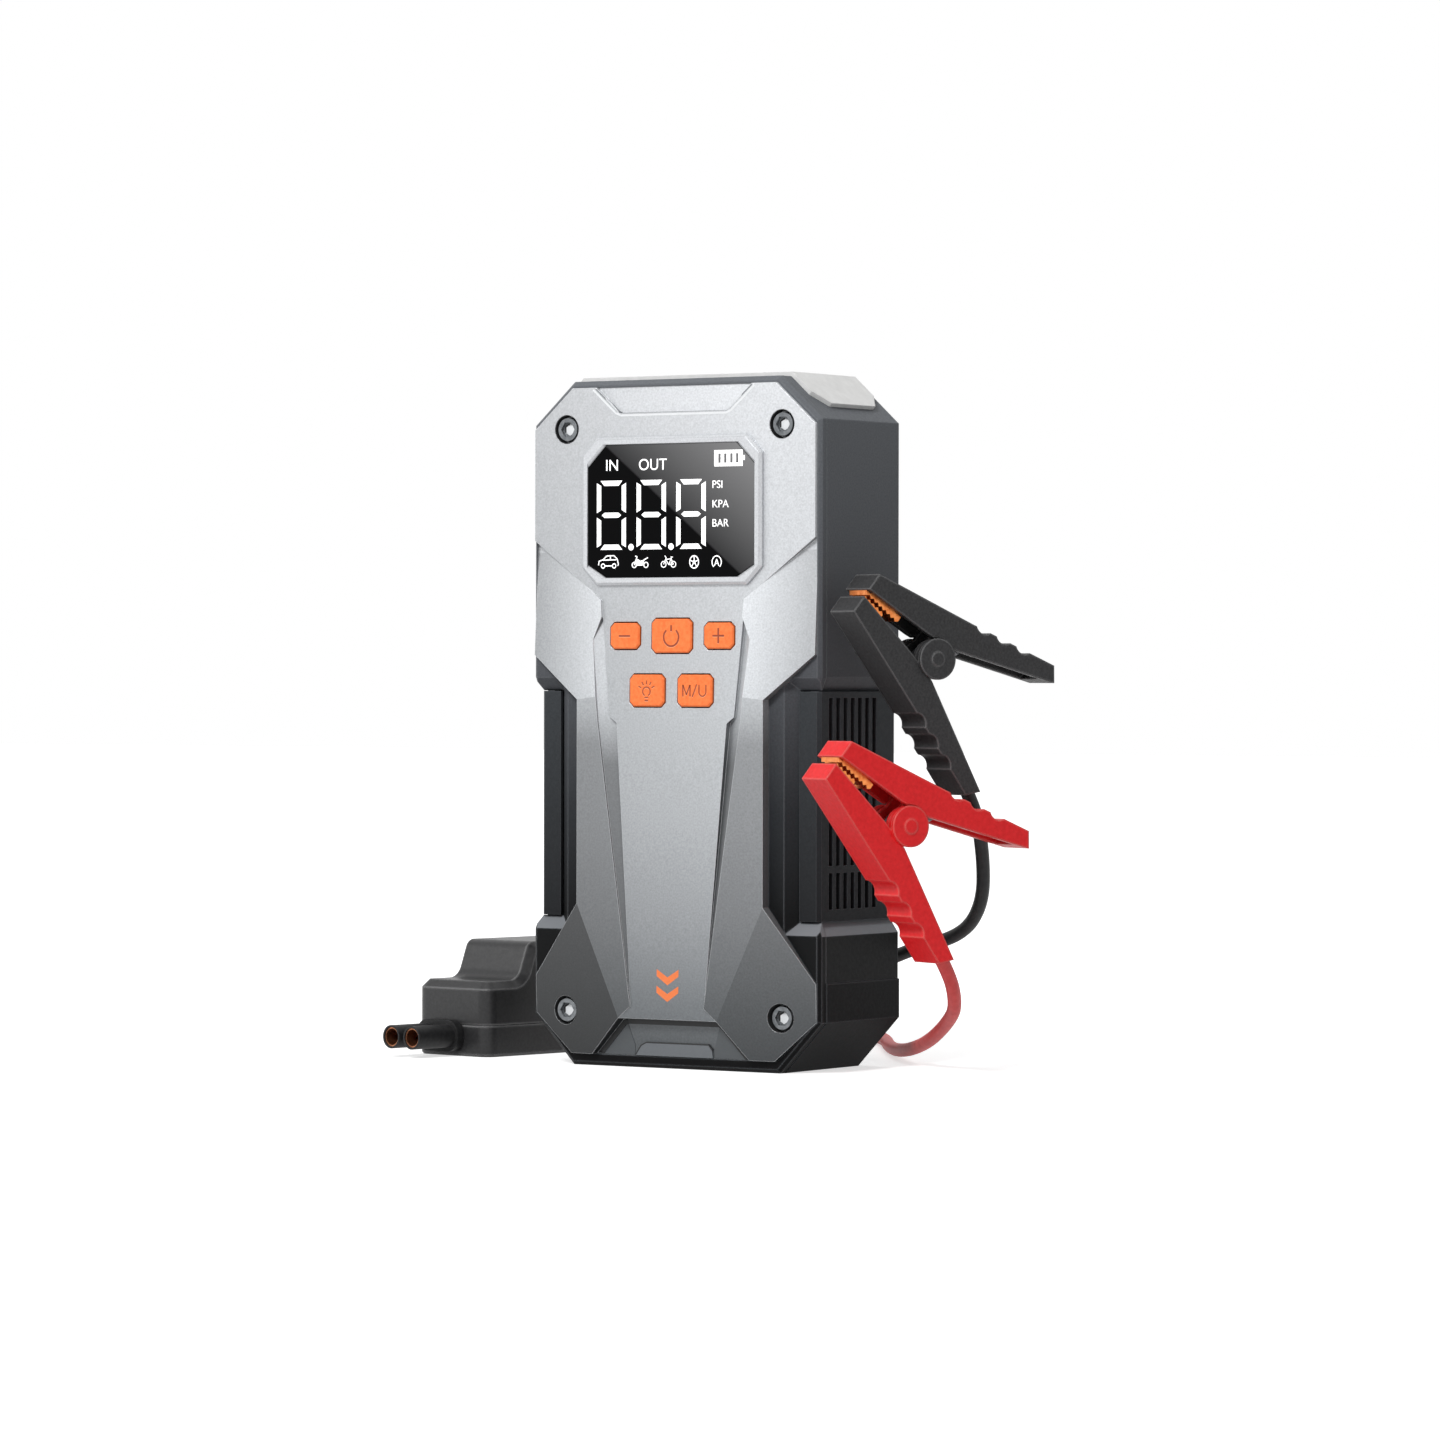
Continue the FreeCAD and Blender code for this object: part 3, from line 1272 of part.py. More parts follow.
def cable(label, points, radius):
    tube, length, radii, share = corner_route(points, radius)
    print(label, "length", round(length, 1), "volume share", round(share, 4),
          "radii", [round(number, 1) for number in radii])
    thing = doc.addObject("Part::Feature", label)
    thing.Shape = tube
    return keep(thing, label)


def ports():
    """The sockets on the left side, with their hinged rubber cover."""
    face = "-%s + sizes.waist_depth - sizes.panel_thickness" % HALF
    block_face = "%s + sizes.port_cover_thickness + sizes.port_cover_gap" % face
    gap = "sizes.port_cover_gap"
    carrier = block("port_carrier", block_face,
                    "sizes.port_opening_y - sizes.port_opening_width / 2 + %s" % gap,
                    "at.port_opening_z - at.port_opening_length / 2 + %s" % gap,
                    "sizes.port_block_depth", "sizes.port_opening_width - 2 * %s" % gap,
                    "at.port_opening_length - 2 * %s" % gap)
    grow = "sizes.port_flange"
    flange = block("port_flange_plate", less(INNER_WAIST),
                   "sizes.port_opening_y - sizes.port_opening_width / 2 - %s" % grow,
                   "at.port_opening_z - at.port_opening_length / 2 - %s" % grow,
                   grow, "sizes.port_opening_width + 2 * %s" % grow,
                   "at.port_opening_length + 2 * %s" % grow)
    carrier = fuse("port_carrier_with_flange", carrier, flange)
    deep = "sizes.port_block_depth - 2"
    lobes = []
    pins = []
    for number, side in enumerate((-1, 1)):
        z = "at.jump_socket_z + (%d) * sizes.plug_pitch / 2" % side
        lobes.append(rod("socket_lobe_%d" % number, "+X", "%s - 1" % block_face,
                         "sizes.port_opening_y", z, "sizes.socket_lobe_radius",
                         "%s + 1" % deep))
        pins.append(rod("socket_pin_%d" % number, "+X", "%s + 1.5" % block_face,
                        "sizes.port_opening_y", z, "sizes.socket_pin_radius",
                        "%s - 1.5" % deep))
    usb_low = "at.usb_z - at.usb_tall / 2"
    usb_side = "sizes.port_opening_y - sizes.usb_width / 2"
    usb_window = block("usb_window", "%s - 1" % block_face, usb_side, usb_low,
                       "sizes.port_block_depth + 2", "sizes.usb_width", "at.usb_tall")
    outlet_seat = rod("outlet_seat", "+X", "%s - 1" % block_face, "sizes.outlet_y",
                      "at.outlet_z", "sizes.outlet_radius", "sizes.port_block_depth + 2")
    depth = "sizes.seam_front + sizes.case_rear"
    def band(name, low, high):
        return block(name, "-%s" % HALF, "-sizes.seam_front", low, HALF, depth,
                     "%s - %s" % (high, low))
    keep(cut("jump_socket", carrier, band("above_socket", "at.socket_split_z",
                                          "sizes.case_height"), *lobes), "jump_socket")
    keep(cut("port_block", carrier, band("below_ports", "0", "at.socket_split_z"),
             band("above_ports", "at.outlet_split_z", "sizes.case_height"), usb_window),
         "port_block")
    keep(cut("outlet_block", carrier, band("below_outlet", "0", "at.outlet_split_z"),
             outlet_seat), "outlet_block")
    keep(group("socket_pins", *pins), "socket_pins")
    cage = block("usb_cage", block_face, usb_side, usb_low, "sizes.port_block_depth",
                 "sizes.usb_width", "at.usb_tall")
    slots = []
    for number in range(2):
        slots.append(block("usb_slot_%d" % number, "%s - 1" % block_face,
                           "%s + sizes.usb_wall" % usb_side,
                           "%s + sizes.usb_wall + %d * sizes.usb_pitch" % (usb_low, number),
                           "sizes.usb_depth + 1", "sizes.usb_width - 2 * sizes.usb_wall",
                           "sizes.usb_height - 2 * sizes.usb_wall"))
    keep(cut("usb_ports", cage, *slots), "usb_ports")
    nipple = rod("outlet_nipple", "+X", "%s + 0.5" % block_face, "sizes.outlet_y",
                 "at.outlet_z", "sizes.outlet_radius", "sizes.port_block_depth + 1")
    bore = rod("outlet_bore", "+X", block_face, "sizes.outlet_y",
               "at.outlet_z", "sizes.outlet_bore", "sizes.port_block_depth - 1")
    keep(cut("air_outlet", nipple, bore), "air_outlet")
    flap = new_body("port_cover")
    rear = "sizes.port_opening_y + sizes.port_opening_width / 2 - %s" % gap
    front = "sizes.port_opening_y - sizes.port_opening_width / 2 + %s" % gap
    outer_x = "%s - %s" % (face, gap)
    inner_x = "%s + sizes.port_cover_thickness" % outer_x
    pad(flap, "flap", "XY_Plane",
        "at.port_opening_z - at.port_opening_length / 2 + %s" % gap,
        "at.port_opening_length - 2 * %s" % gap,
        [(outer_x, front), (outer_x, rear), (inner_x, "%s - sizes.port_cover_thickness" % rear),
         (inner_x, front)])
    keep(flap, "port_cover")


def power_board():
    """The board that carries the starting current, cooled through the vents."""
    sink_x = "%s - sizes.sink_depth" % INNER_WAIST
    board = block("power_plate", "%s - sizes.board_thickness" % sink_x, "sizes.power_front",
                  "sizes.power_low", "sizes.board_thickness", "sizes.power_width",
                  "sizes.power_height")
    sinks = []
    for number in range(int(size("sink_count"))):
        z = "sizes.power_low + sizes.sink_height / 2 + %d * sizes.sink_pitch" % number
        sinks.append(block("heat_sink_%d" % number, "%s - 0.1" % sink_x,
                           "sizes.power_front + sizes.board_thickness", z, "sizes.sink_depth + 0.1",
                           "sizes.power_width - 2 * sizes.board_thickness", "sizes.sink_height"))
    keep(fuse("power_board", board, *sinks), "power_board")


def lead_frame():
    """Where the smart box stands: its front left corner on the floor."""
    turn = FreeCAD.Rotation(FreeCAD.Vector(0, 0, 1), size("box_turn"))
    return FreeCAD.Placement(FreeCAD.Vector(size("box_x"), size("box_y"), 0), turn)


def vertical_corner(edge):
    """True for the four upright corner edges of the smart box."""
    box = edge.BoundBox
    upright = near(box.XMin, box.XMax) and near(box.YMin, box.YMax)
    side = near(box.XMin, 0) or near(box.XMin, size("box_width"))
    end = near(box.YMin, 0) or near(box.YMin, size("box_length"))
    return upright and side and end


def plug_clearance(name):
    """The room that the plug's shank takes in the front wall."""
    return block(name, "sizes.plug_across - sizes.collar_width / 2 + sizes.barrel_radius / 2", "-1",
                 "sizes.plug_height - sizes.barrel_radius",
                 "sizes.collar_width - sizes.barrel_radius", "sizes.plug_shank + 1",
                 "2 * sizes.barrel_radius")


def gland_places():
    """Across position of the black and the red cable's gland."""
    return (
        ("black", "sizes.box_width / 2 + sizes.gland_pitch / 2"),
        ("red", "sizes.box_width / 2 - sizes.gland_pitch / 2"),
    )


def smart_box():
    """Two moulded shells with a board between them."""
    frame = lead_frame()
    low = "sizes.box_seam"
    upper = new_body("smart_box_upper")
    form = pad(upper, "upper_form", "YZ_Plane", "0", "sizes.box_width", [
        ("0", low), ("sizes.box_length", low), ("sizes.box_length", "sizes.box_high_top"),
        ("sizes.box_step_end", "sizes.box_high_top"), ("sizes.box_step_start", "sizes.box_low_top"),
        ("0", "sizes.box_low_top"),
    ])
    hollow = fillet(upper, "step_hollow", form, "sizes.box_step_hollow",
                    lambda edge: edge_at("Y", size("box_step_start"))(edge))
    rounded = fillet(upper, "step_round", hollow, "sizes.box_step_round",
                     lambda edge: edge_at("Y", size("box_step_end"))(edge))
    corners = fillet(upper, "upper_corners", rounded, "sizes.box_corner", vertical_corner)

    def top_edge(edge):
        box = edge.BoundBox
        crosses = box.XMax - box.XMin > size("box_width") / 2
        inside = box.YMin > 1 and box.YMax < size("box_length") - 1
        return box.ZMin > size("box_low_top") - 0.01 and not (crosses and inside)
    chamfer(upper, "upper_edge", corners, "sizes.box_edge", top_edge)
    room = "(sizes.box_wall + sizes.box_corner / 2)"
    pocket(upper, "upper_room", "XY_Plane", low, "sizes.box_low_top - sizes.box_wall - %s" % low, [
        (room, room), ("sizes.box_width - %s" % room, room),
        ("sizes.box_width - %s" % room, "sizes.box_length - %s" % room),
        (room, "sizes.box_length - %s" % room),
    ], onward=True)
    tools = [plug_clearance("plug_room_above")]
    for name, across in gland_places():
        tools.append(rod(name + "_gland_hole", "+Y", across, "sizes.box_length - 3 * sizes.box_wall",
                         "sizes.gland_height", "sizes.gland_tip_radius", "4 * sizes.box_wall"))
    upper = cut("smart_box_upper", upper, *tools)
    upper.Placement = frame
    keep(upper, "smart_box_upper")

    lower = new_body("smart_box_lower")
    form = pad(lower, "lower_form", "XY_Plane", "0", "sizes.box_seam", [
        ("0", "0"), ("sizes.box_width", "0"), ("sizes.box_width", "sizes.box_length"),
        ("0", "sizes.box_length"),
    ])
    corners = fillet(lower, "lower_corners", form, "sizes.box_corner", vertical_corner)
    edged = chamfer(lower, "lower_edge", corners, "sizes.box_edge / 4", edge_at("Z", 0))
    chamfer(lower, "lower_seam_edge", edged, "sizes.box_groove", edge_at("Z", size("box_seam")))
    pocket(lower, "lower_room", "XY_Plane", "sizes.box_seam", "sizes.box_seam - sizes.box_wall", [
        (room, room), ("sizes.box_width - %s" % room, room),
        ("sizes.box_width - %s" % room, "sizes.box_length - %s" % room),
        (room, "sizes.box_length - %s" % room),
    ])
    seats = []
    for number, y in enumerate(("sizes.plug_shank + 6", "sizes.box_length - 14")):
        seats.append(block("board_seat_%d" % number, "sizes.box_width / 2 - 2", y,
                           "sizes.box_wall - 0.1", "4", "4", "%s - sizes.box_wall + 0.1" % BOX_BOARD))
    lower = cut("smart_box_lower", fuse("lower_with_seats", lower, *seats),
                plug_clearance("plug_room_below"))
    lower.Placement = frame
    keep(lower, "smart_box_lower")

    board = block("board_plate", "sizes.box_wall + sizes.box_corner / 2 + 0.3",
                  "sizes.plug_shank + 2", BOX_BOARD,
                  "sizes.box_width - 2 * sizes.box_wall - sizes.box_corner - 0.6",
                  "sizes.box_length - sizes.plug_shank - 8", "sizes.board_thickness")
    relays = []
    for number in range(2):
        relays.append(block("relay_%d" % number, "sizes.box_width / 2 - 7",
                            "30 + %d * 20" % number, "%s - sizes.relay_height" % BOX_BOARD,
                            "14", "16", "sizes.relay_height + 0.1"))
    board = fuse("smart_box_board", board, *relays)
    board.Placement = frame
    keep(board, "smart_box_board")


def lead_plug():
    """A two-pole plug: shank, rounded collar, web and two barrels with copper sockets."""
    frame = lead_frame()
    shank = block("plug_shank_block",
                  "sizes.plug_across - sizes.collar_width / 2 + sizes.barrel_radius / 2 + 0.05", "-0.1",
                  "sizes.plug_height - sizes.barrel_radius + 0.05",
                  "sizes.collar_width - sizes.barrel_radius - 0.1", "sizes.plug_shank",
                  "2 * sizes.barrel_radius - 0.1")
    body = new_body("plug_collar")
    left = "sizes.plug_across - sizes.collar_width / 2"
    low = "sizes.plug_height - sizes.collar_height / 2"
    collar = pad(body, "plug_collar_form", "XZ_Plane", "0", "sizes.collar_length", [
        (left, low), ("%s + sizes.collar_width" % left, low),
        ("%s + sizes.collar_width" % left, "%s + sizes.collar_height" % low),
        (left, "%s + sizes.collar_height" % low),
    ])

    def along_y(edge):
        box = edge.BoundBox
        return near(box.XMin, box.XMax) and near(box.ZMin, box.ZMax)
    fillet(body, "collar_round", collar, "0.45 * sizes.collar_height", along_y)
    barrels = []
    bores = []
    contacts = []
    for number, side in enumerate((-1, 1)):
        across = "sizes.plug_across + (%d) * sizes.plug_pitch / 2" % side
        barrels.append(rod("plug_barrel_%d" % number, "-Y", across, "0", "sizes.plug_height",
                           "sizes.barrel_radius", "sizes.collar_length + sizes.barrel_length"))
        tip = "-sizes.collar_length - sizes.barrel_length"
        bores.append(rod("plug_bore_%d" % number, "+Y", across, "%s - 1" % tip,
                         "sizes.plug_height", "sizes.contact_radius", "sizes.contact_depth + 1"))
        tube = rod("contact_tube_%d" % number, "+Y", across, "%s + sizes.contact_inset" % tip,
                   "sizes.plug_height", "sizes.contact_radius",
                   "sizes.contact_depth - sizes.contact_inset")
        room = rod("contact_room_%d" % number, "+Y", across, "%s - 1" % tip, "sizes.plug_height",
                   "sizes.contact_bore", "sizes.contact_depth")
        contacts.append(cut("contact_%d" % number, tube, room))
    web = block("plug_web", "sizes.plug_across - sizes.plug_pitch / 2",
                "-sizes.collar_length - sizes.web_length", "sizes.plug_height - sizes.web_height / 2",
                "sizes.plug_pitch", "sizes.web_length + 1", "sizes.web_height")
    plug = cut("lead_plug", fuse("plug_form", shank, body, web, *barrels), *bores)
    plug.Placement = frame
    keep(plug, "lead_plug")
    contacts = group("plug_contacts", *contacts)
    contacts.Placement = frame
    keep(contacts, "plug_contacts")


def cable_glands():
    glands = []
    for name, across in gland_places():
        stem = rod(name + "_gland_stem", "+Y", across, "sizes.box_length - 2 * sizes.box_wall",
                   "sizes.gland_height", "sizes.gland_tip_radius - 0.05", "2 * sizes.box_wall + 1")
        boot = cone(name + "_gland_boot", "+Y", across, "sizes.box_length", "sizes.gland_height",
                    "sizes.gland_radius", "sizes.gland_tip_radius", "sizes.gland_length")
        glands.append(fuse(name + "_gland", stem, boot))
    glands = group("cable_glands", *glands)
    glands.Placement = lead_frame()
    keep(glands, "cable_glands")


def lead_cables():
    cable("red_cable", RED_CABLE_ROUTE, size("cable_radius"))
    cable("black_cable", BLACK_CABLE_ROUTE, size("cable_radius"))


def clamp_frame(colour):
    """Origin at the pivot's middle, X towards the handles, Z towards the viewer's side."""
    base = FreeCAD.Vector(*[size("%s_pivot_%s" % (colour, axis)) for axis in "xyz"])
    turn = FreeCAD.Rotation(FreeCAD.Vector(0, 0, 1), size("clamp_turn"))
    stand = FreeCAD.Rotation(FreeCAD.Vector(1, 0, 0), 90)
    pitch = FreeCAD.Rotation(FreeCAD.Vector(0, 0, 1), size("clamp_pitch"))
    return FreeCAD.Placement(base, turn * stand * pitch)


BOX_BOARD = "(sizes.box_seam + 3)"
SIDE = "sizes.clamp_width / 2"
INNER_SIDE = "(sizes.clamp_width / 2 - sizes.clamp_side_wall)"
JAW_SLOPE = "((sizes.grip_start_y - sizes.jaw_height) / (sizes.grip_start_x + sizes.jaw_length))"
GRIP_SLOPE = ("((sizes.handle_end_y - sizes.grip_start_y)"
              " / (sizes.handle_end_x - sizes.grip_start_x))")


def clamp_arm(colour, which):
    """One moulded arm: a channel with a toothed jaw's nose, grip scallops and ears."""
    name = "%s_%s_arm" % (colour, which)
    up = which == "upper"

    def turned(corners):
        if up:
            return corners
        return [(x, less(y)) for x, y in corners]
    body = new_body(name)
    nose = "-sizes.jaw_length"
    form = pad(body, name + "_form", "XY_Plane", "0", "sizes.clamp_width", turned([
        (nose, "sizes.jaw_gap"),
        (nose, "sizes.jaw_height"),
        ("sizes.grip_start_x", "sizes.grip_start_y"),
        ("sizes.handle_end_x", "sizes.handle_end_y"),
        ("sizes.handle_tip_x", "sizes.handle_tip_y"),
        ("sizes.handle_root_x", "sizes.handle_root_y"),
        ("sizes.throat_x", "sizes.throat_y"),
    ]), midplane=True)
    wall = "sizes.clamp_back_wall"
    nose_in = "(sizes.nose_wall - sizes.jaw_length)"
    if up:
        end = "sizes.handle_end_x - sizes.nose_wall / 2"
    else:
        end = "sizes.handle_tip_x + 5"
    pocket(body, name + "_channel", "XY_Plane", "0", "2 * %s" % INNER_SIDE, turned([
        (nose_in, "-5"),
        (nose_in, "sizes.jaw_height + sizes.nose_wall * %s - %s" % (JAW_SLOPE, wall)),
        ("sizes.grip_start_x", "sizes.grip_start_y - %s" % wall),
        (end, "sizes.grip_start_y - %s + (%s - sizes.grip_start_x) * %s" % (wall, end, GRIP_SLOPE)),
        (end, "-5"),
    ]), midplane=True)
    doc.recompute()
    sign = 1 if up else -1
    pieces = [body]
    tools = []
    for number in range(int(size("grip_count"))):
        x = "sizes.grip_start_x + %.1f * sizes.grip_pitch" % (number + 0.5)
        y = "(sizes.grip_start_y + %.1f * sizes.grip_pitch * %s" % (number + 0.5, GRIP_SLOPE)
        y += " + sizes.grip_radius - sizes.grip_depth)"
        if not up:
            y = less(y)
        tools.append(rod("%s_scallop_%d" % (name, number), "+Z", x, y, "-sizes.clamp_width",
                         "sizes.grip_radius", "2 * sizes.clamp_width"))
    hole = rod(name + "_hole", "+Z", "0", "0", "-sizes.clamp_width",
               "sizes.pivot_radius + sizes.pivot_fit", "2 * sizes.clamp_width")
    if up:
        relief = rod(name + "_relief", "+Z", "0", "0", "-sizes.clamp_width",
                     "sizes.ear_radius + sizes.ear_gap", "2 * sizes.clamp_width")
        arm = cut(name + "_walls", body, relief, *tools)
        ears = []
        gap_side = "(%s - sizes.ear_side_gap)" % INNER_SIDE
        inner = "(%s - sizes.inner_ear_thickness)" % gap_side
        for number, way in enumerate((1, -1)):
            start = inner if way > 0 else less(gap_side)
            ears.append(rod("%s_ear_%d" % (name, number), "+Z", "0", "0", start,
                            "sizes.ear_radius - 0.3", "sizes.inner_ear_thickness"))
            ears.append(block("%s_ear_root_%d" % (name, number), "-sizes.ear_root / 2", "0", start,
                              "sizes.ear_root", "sizes.ear_root_height",
                              "sizes.inner_ear_thickness"))
            start = gap_side if way > 0 else less("%s + 0.1" % INNER_SIDE)
            ears.append(block("%s_ear_step_%d" % (name, number), "-sizes.ear_root / 2",
                              "sizes.ear_radius + sizes.ear_gap", start, "sizes.ear_root",
                              "sizes.ear_root_height - sizes.ear_radius - sizes.ear_gap",
                              "sizes.ear_side_gap + 0.1"))
        arm = cut(name, fuse(name + "_with_ears", arm, *ears), hole)
    else:
        ears = []
        for number, way in enumerate((1, -1)):
            start = INNER_SIDE if way > 0 else less(SIDE)
            ears.append(rod("%s_ear_%d" % (name, number), "+Z", "0", "0", start,
                            "sizes.ear_radius", "sizes.clamp_side_wall"))
        arm = cut(name, fuse(name + "_with_ears", body, *ears), hole, *tools)
    arm.Placement = clamp_frame(colour)
    keep(arm, name)


def jaw_teeth(colour, which):
    """A copper strip with saw teeth along its inner face."""
    name = "%s_%s_teeth" % (colour, which)
    up = which == "upper"
    count = int(size("upper_tooth_count" if up else "lower_tooth_count"))
    start = "(0.4 - sizes.jaw_length)"
    nose_in = "(sizes.nose_wall + 0.1 - sizes.jaw_length)"
    root = "sizes.tooth_gap + sizes.tooth_height"
    back = "%s + sizes.tooth_plate" % root
    end = "%s + %d * sizes.tooth_pitch" % (start, count)
    corners = [(start, "sizes.jaw_gap - 0.05"), (nose_in, "sizes.jaw_gap - 0.05"),
               (nose_in, back), (end, back), (end, root)]
    for number in reversed(range(count)):
        tip = "%s + %.2f * sizes.tooth_pitch" % (start, number + 0.5)
        corners.append((tip, "sizes.tooth_gap"))
        if number:
            corners.append(("%s + %d * sizes.tooth_pitch" % (start, number), root))
    if not up:
        corners = [(x, less(y)) for x, y in corners]
    body = new_body(name)
    pad(body, name + "_strip", "XY_Plane", "0", "2 * %s" % INNER_SIDE, corners, midplane=True)
    body.Placement = clamp_frame(colour)
    keep(body, name)


def clamp_pivot(colour):
    """A rivet: running fit in the ears, a broad cap with a small eye on each side."""
    name = "%s_pivot" % colour
    shaft = rod(name + "_shaft", "+Z", "0", "0", less(SIDE), "sizes.pivot_radius",
                "sizes.clamp_width")
    caps = []
    for number, way in enumerate((1, -1)):
        start = SIDE if way > 0 else "%s - sizes.pivot_cap_height" % less(SIDE)
        caps.append(rod("%s_cap_%d" % (name, number), "+Z", "0", "0", start,
                        "sizes.pivot_cap_radius", "sizes.pivot_cap_height"))
        start = SIDE if way > 0 else "%s - sizes.pivot_cap_height - sizes.pivot_eye_height" % less(SIDE)
        caps.append(rod("%s_eye_%d" % (name, number), "+Z", "0", "0", start,
                        "sizes.pivot_eye_radius", "sizes.pivot_cap_height + sizes.pivot_eye_height"))
    pivot = fuse(name, shaft, *caps)
    pivot.Placement = clamp_frame(colour)
    keep(pivot, name)


def clamp_spring(colour):
    """A torsion spring of square wire round the pivot, its legs spreading into both handles."""
    name = "%s_spring" % colour
    radius = size("spring_radius")
    wire = size("spring_wire")
    height = size("spring_turns") * size("spring_pitch")
    coil = Part.makeHelix(size("spring_pitch"), height, radius)
    section = [(radius + wire, wire), (radius - wire, wire), (radius - wire, -wire),
               (radius + wire, -wire), (radius + wire, wire)]
    profile = Part.makePolygon([FreeCAD.Vector(across, 0, up) for across, up in section])
    body = Part.Wire(coil.Edges).makePipeShell([profile], True, True)
    slope = value(GRIP_SLOPE)
    wall = (size("grip_start_y") - size("clamp_back_wall")
            + (size("spring_leg") - size("grip_start_x")) * slope)
    legs = []
    for way, z, gap in ((1, height, size("ear_side_gap")), (-1, 0.0, 0.0)):
        rest = wall - (wire + gap) * math.hypot(1, slope)
        tip = FreeCAD.Vector(size("spring_leg"), way * rest, z)
        foot = FreeCAD.Vector(radius, 0, z)
        leg = Part.makeBox((tip - foot).Length + 1.5 * wire, 2 * wire, 2 * wire,
                           FreeCAD.Vector(-wire, -wire, -wire))
        turn = FreeCAD.Rotation(FreeCAD.Vector(1, 0, 0), tip - foot)
        leg.Placement = FreeCAD.Placement(foot, turn) * leg.Placement
        legs.append(leg)
    solid = body.multiFuse(legs)
    thing = doc.addObject("Part::Feature", name)
    thing.Shape = solid
    middle = FreeCAD.Placement(FreeCAD.Vector(0, 0, -height / 2), FreeCAD.Rotation())
    thing.Placement = clamp_frame(colour) * middle
    keep(thing, name)


def cable_crimp(colour):
    """The copper ferrule that ends the cable inside the lower arm."""
    name = "%s_crimp" % colour
    slope = math.atan(value(GRIP_SLOPE))
    end_x = size("crimp_end")
    end_y = value("sizes.grip_start_y + (sizes.crimp_end - sizes.grip_start_x) * %s"
                  " - sizes.cable_seat" % GRIP_SLOPE)
    way = FreeCAD.Vector(-math.cos(slope), math.sin(slope), 0)
    ferrule = Part.makeCylinder(size("crimp_radius"), size("crimp_length"),
                                FreeCAD.Vector(end_x, -end_y, 0), way)
    thing = doc.addObject("Part::Feature", name)
    thing.Shape = ferrule
    thing.Placement = clamp_frame(colour)
    keep(thing, name)


def clamp(colour):
    for which in ("lower", "upper"):
        clamp_arm(colour, which)
        jaw_teeth(colour, which)
    clamp_pivot(colour)
    clamp_spring(colour)
    cable_crimp(colour)


rear_shell()
foot_bumper()
front_frame()
side_panels()
front_cover()
front_screws()
display()
buttons()
button_pad()
light()
battery()
compressor()
ports()
power_board()
smart_box()
lead_plug()
cable_glands()
lead_cables()
clamp("red")
clamp("black")
doc.recompute()

for thing in doc.Objects:
    if "Invalid" in thing.State or "Error" in thing.State:
        raise RuntimeError(thing.Name + " failed")

os.makedirs("parts", exist_ok=True)
for node in nodes:
    shape = node.Shape
    if shape.isNull() or not shape.isValid() or shape.Volume <= 0:
        raise RuntimeError(node.Label + " has no sound shape")
    print(node.Label, round(shape.Volume, 1), len(shape.Solids), shape.BoundBox)
    shape.exportStep("parts/%s.step" % node.Label)
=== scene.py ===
import json
import math

import bmesh
import bpy
from mathutils import Matrix, Vector
from mathutils.bvhtree import BVHTree


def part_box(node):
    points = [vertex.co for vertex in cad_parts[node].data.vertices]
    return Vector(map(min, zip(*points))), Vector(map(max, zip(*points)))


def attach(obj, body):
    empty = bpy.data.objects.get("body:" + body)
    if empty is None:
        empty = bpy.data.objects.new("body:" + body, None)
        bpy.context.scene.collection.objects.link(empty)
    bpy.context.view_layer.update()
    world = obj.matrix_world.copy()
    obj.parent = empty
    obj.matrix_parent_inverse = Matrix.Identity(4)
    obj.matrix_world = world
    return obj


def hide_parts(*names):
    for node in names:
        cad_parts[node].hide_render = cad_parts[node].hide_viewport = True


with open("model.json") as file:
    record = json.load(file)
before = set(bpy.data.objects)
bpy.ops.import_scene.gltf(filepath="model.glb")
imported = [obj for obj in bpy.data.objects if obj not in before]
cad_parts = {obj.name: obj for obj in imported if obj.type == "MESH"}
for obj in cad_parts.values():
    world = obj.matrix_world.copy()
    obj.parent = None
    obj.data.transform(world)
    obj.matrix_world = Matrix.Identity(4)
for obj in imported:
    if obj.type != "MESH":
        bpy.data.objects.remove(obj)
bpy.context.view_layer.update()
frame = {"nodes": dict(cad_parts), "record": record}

# Metres in a millimetre: lengths below are written in millimetres where nothing else is said
MM = 0.001


def mm(*numbers):
    return Vector([number * MM for number in numbers])


def add(name, data):
    """A new object in the scene."""
    thing = bpy.data.objects.new(name, data)
    bpy.context.scene.collection.objects.link(thing)
    return thing


# Camera, from the photograph's perspective: angles in radians
CAMERA_AZIMUTH = 0.583973
CAMERA_PITCH = 0.00738874
CAMERA_ROLL = 0.00165996
CAMERA_DISTANCE = 1709.69
CAMERA_ASIDE = 13.549
CAMERA_HEIGHT = 113.794
FACE_OFFSET = 22.0
LENS = 147.638


def make_camera():
    data = bpy.data.cameras.new("camera")
    data.lens = LENS
    data.sensor_width = 36.0
    data.clip_start = 0.05
    data.clip_end = 20.0
    camera = add("camera", data)
    aside = Vector((math.cos(CAMERA_AZIMUTH), math.sin(CAMERA_AZIMUTH), 0))
    back = Vector((math.sin(CAMERA_AZIMUTH), -math.cos(CAMERA_AZIMUTH), 0))
    place = back * CAMERA_DISTANCE + aside * CAMERA_ASIDE + Vector((0, -FACE_OFFSET, CAMERA_HEIGHT))
    ahead = -back * math.cos(CAMERA_PITCH) + Vector((0, 0, -math.sin(CAMERA_PITCH)))
    up = aside.cross(ahead)
    right = aside * math.cos(CAMERA_ROLL) + up * math.sin(CAMERA_ROLL)
    above = up * math.cos(CAMERA_ROLL) - aside * math.sin(CAMERA_ROLL)
    turn = Matrix((right, above, -ahead)).transposed()
    camera.matrix_world = Matrix.Translation(place * MM) @ turn.to_4x4()
    bpy.context.scene.camera = camera


make_camera()

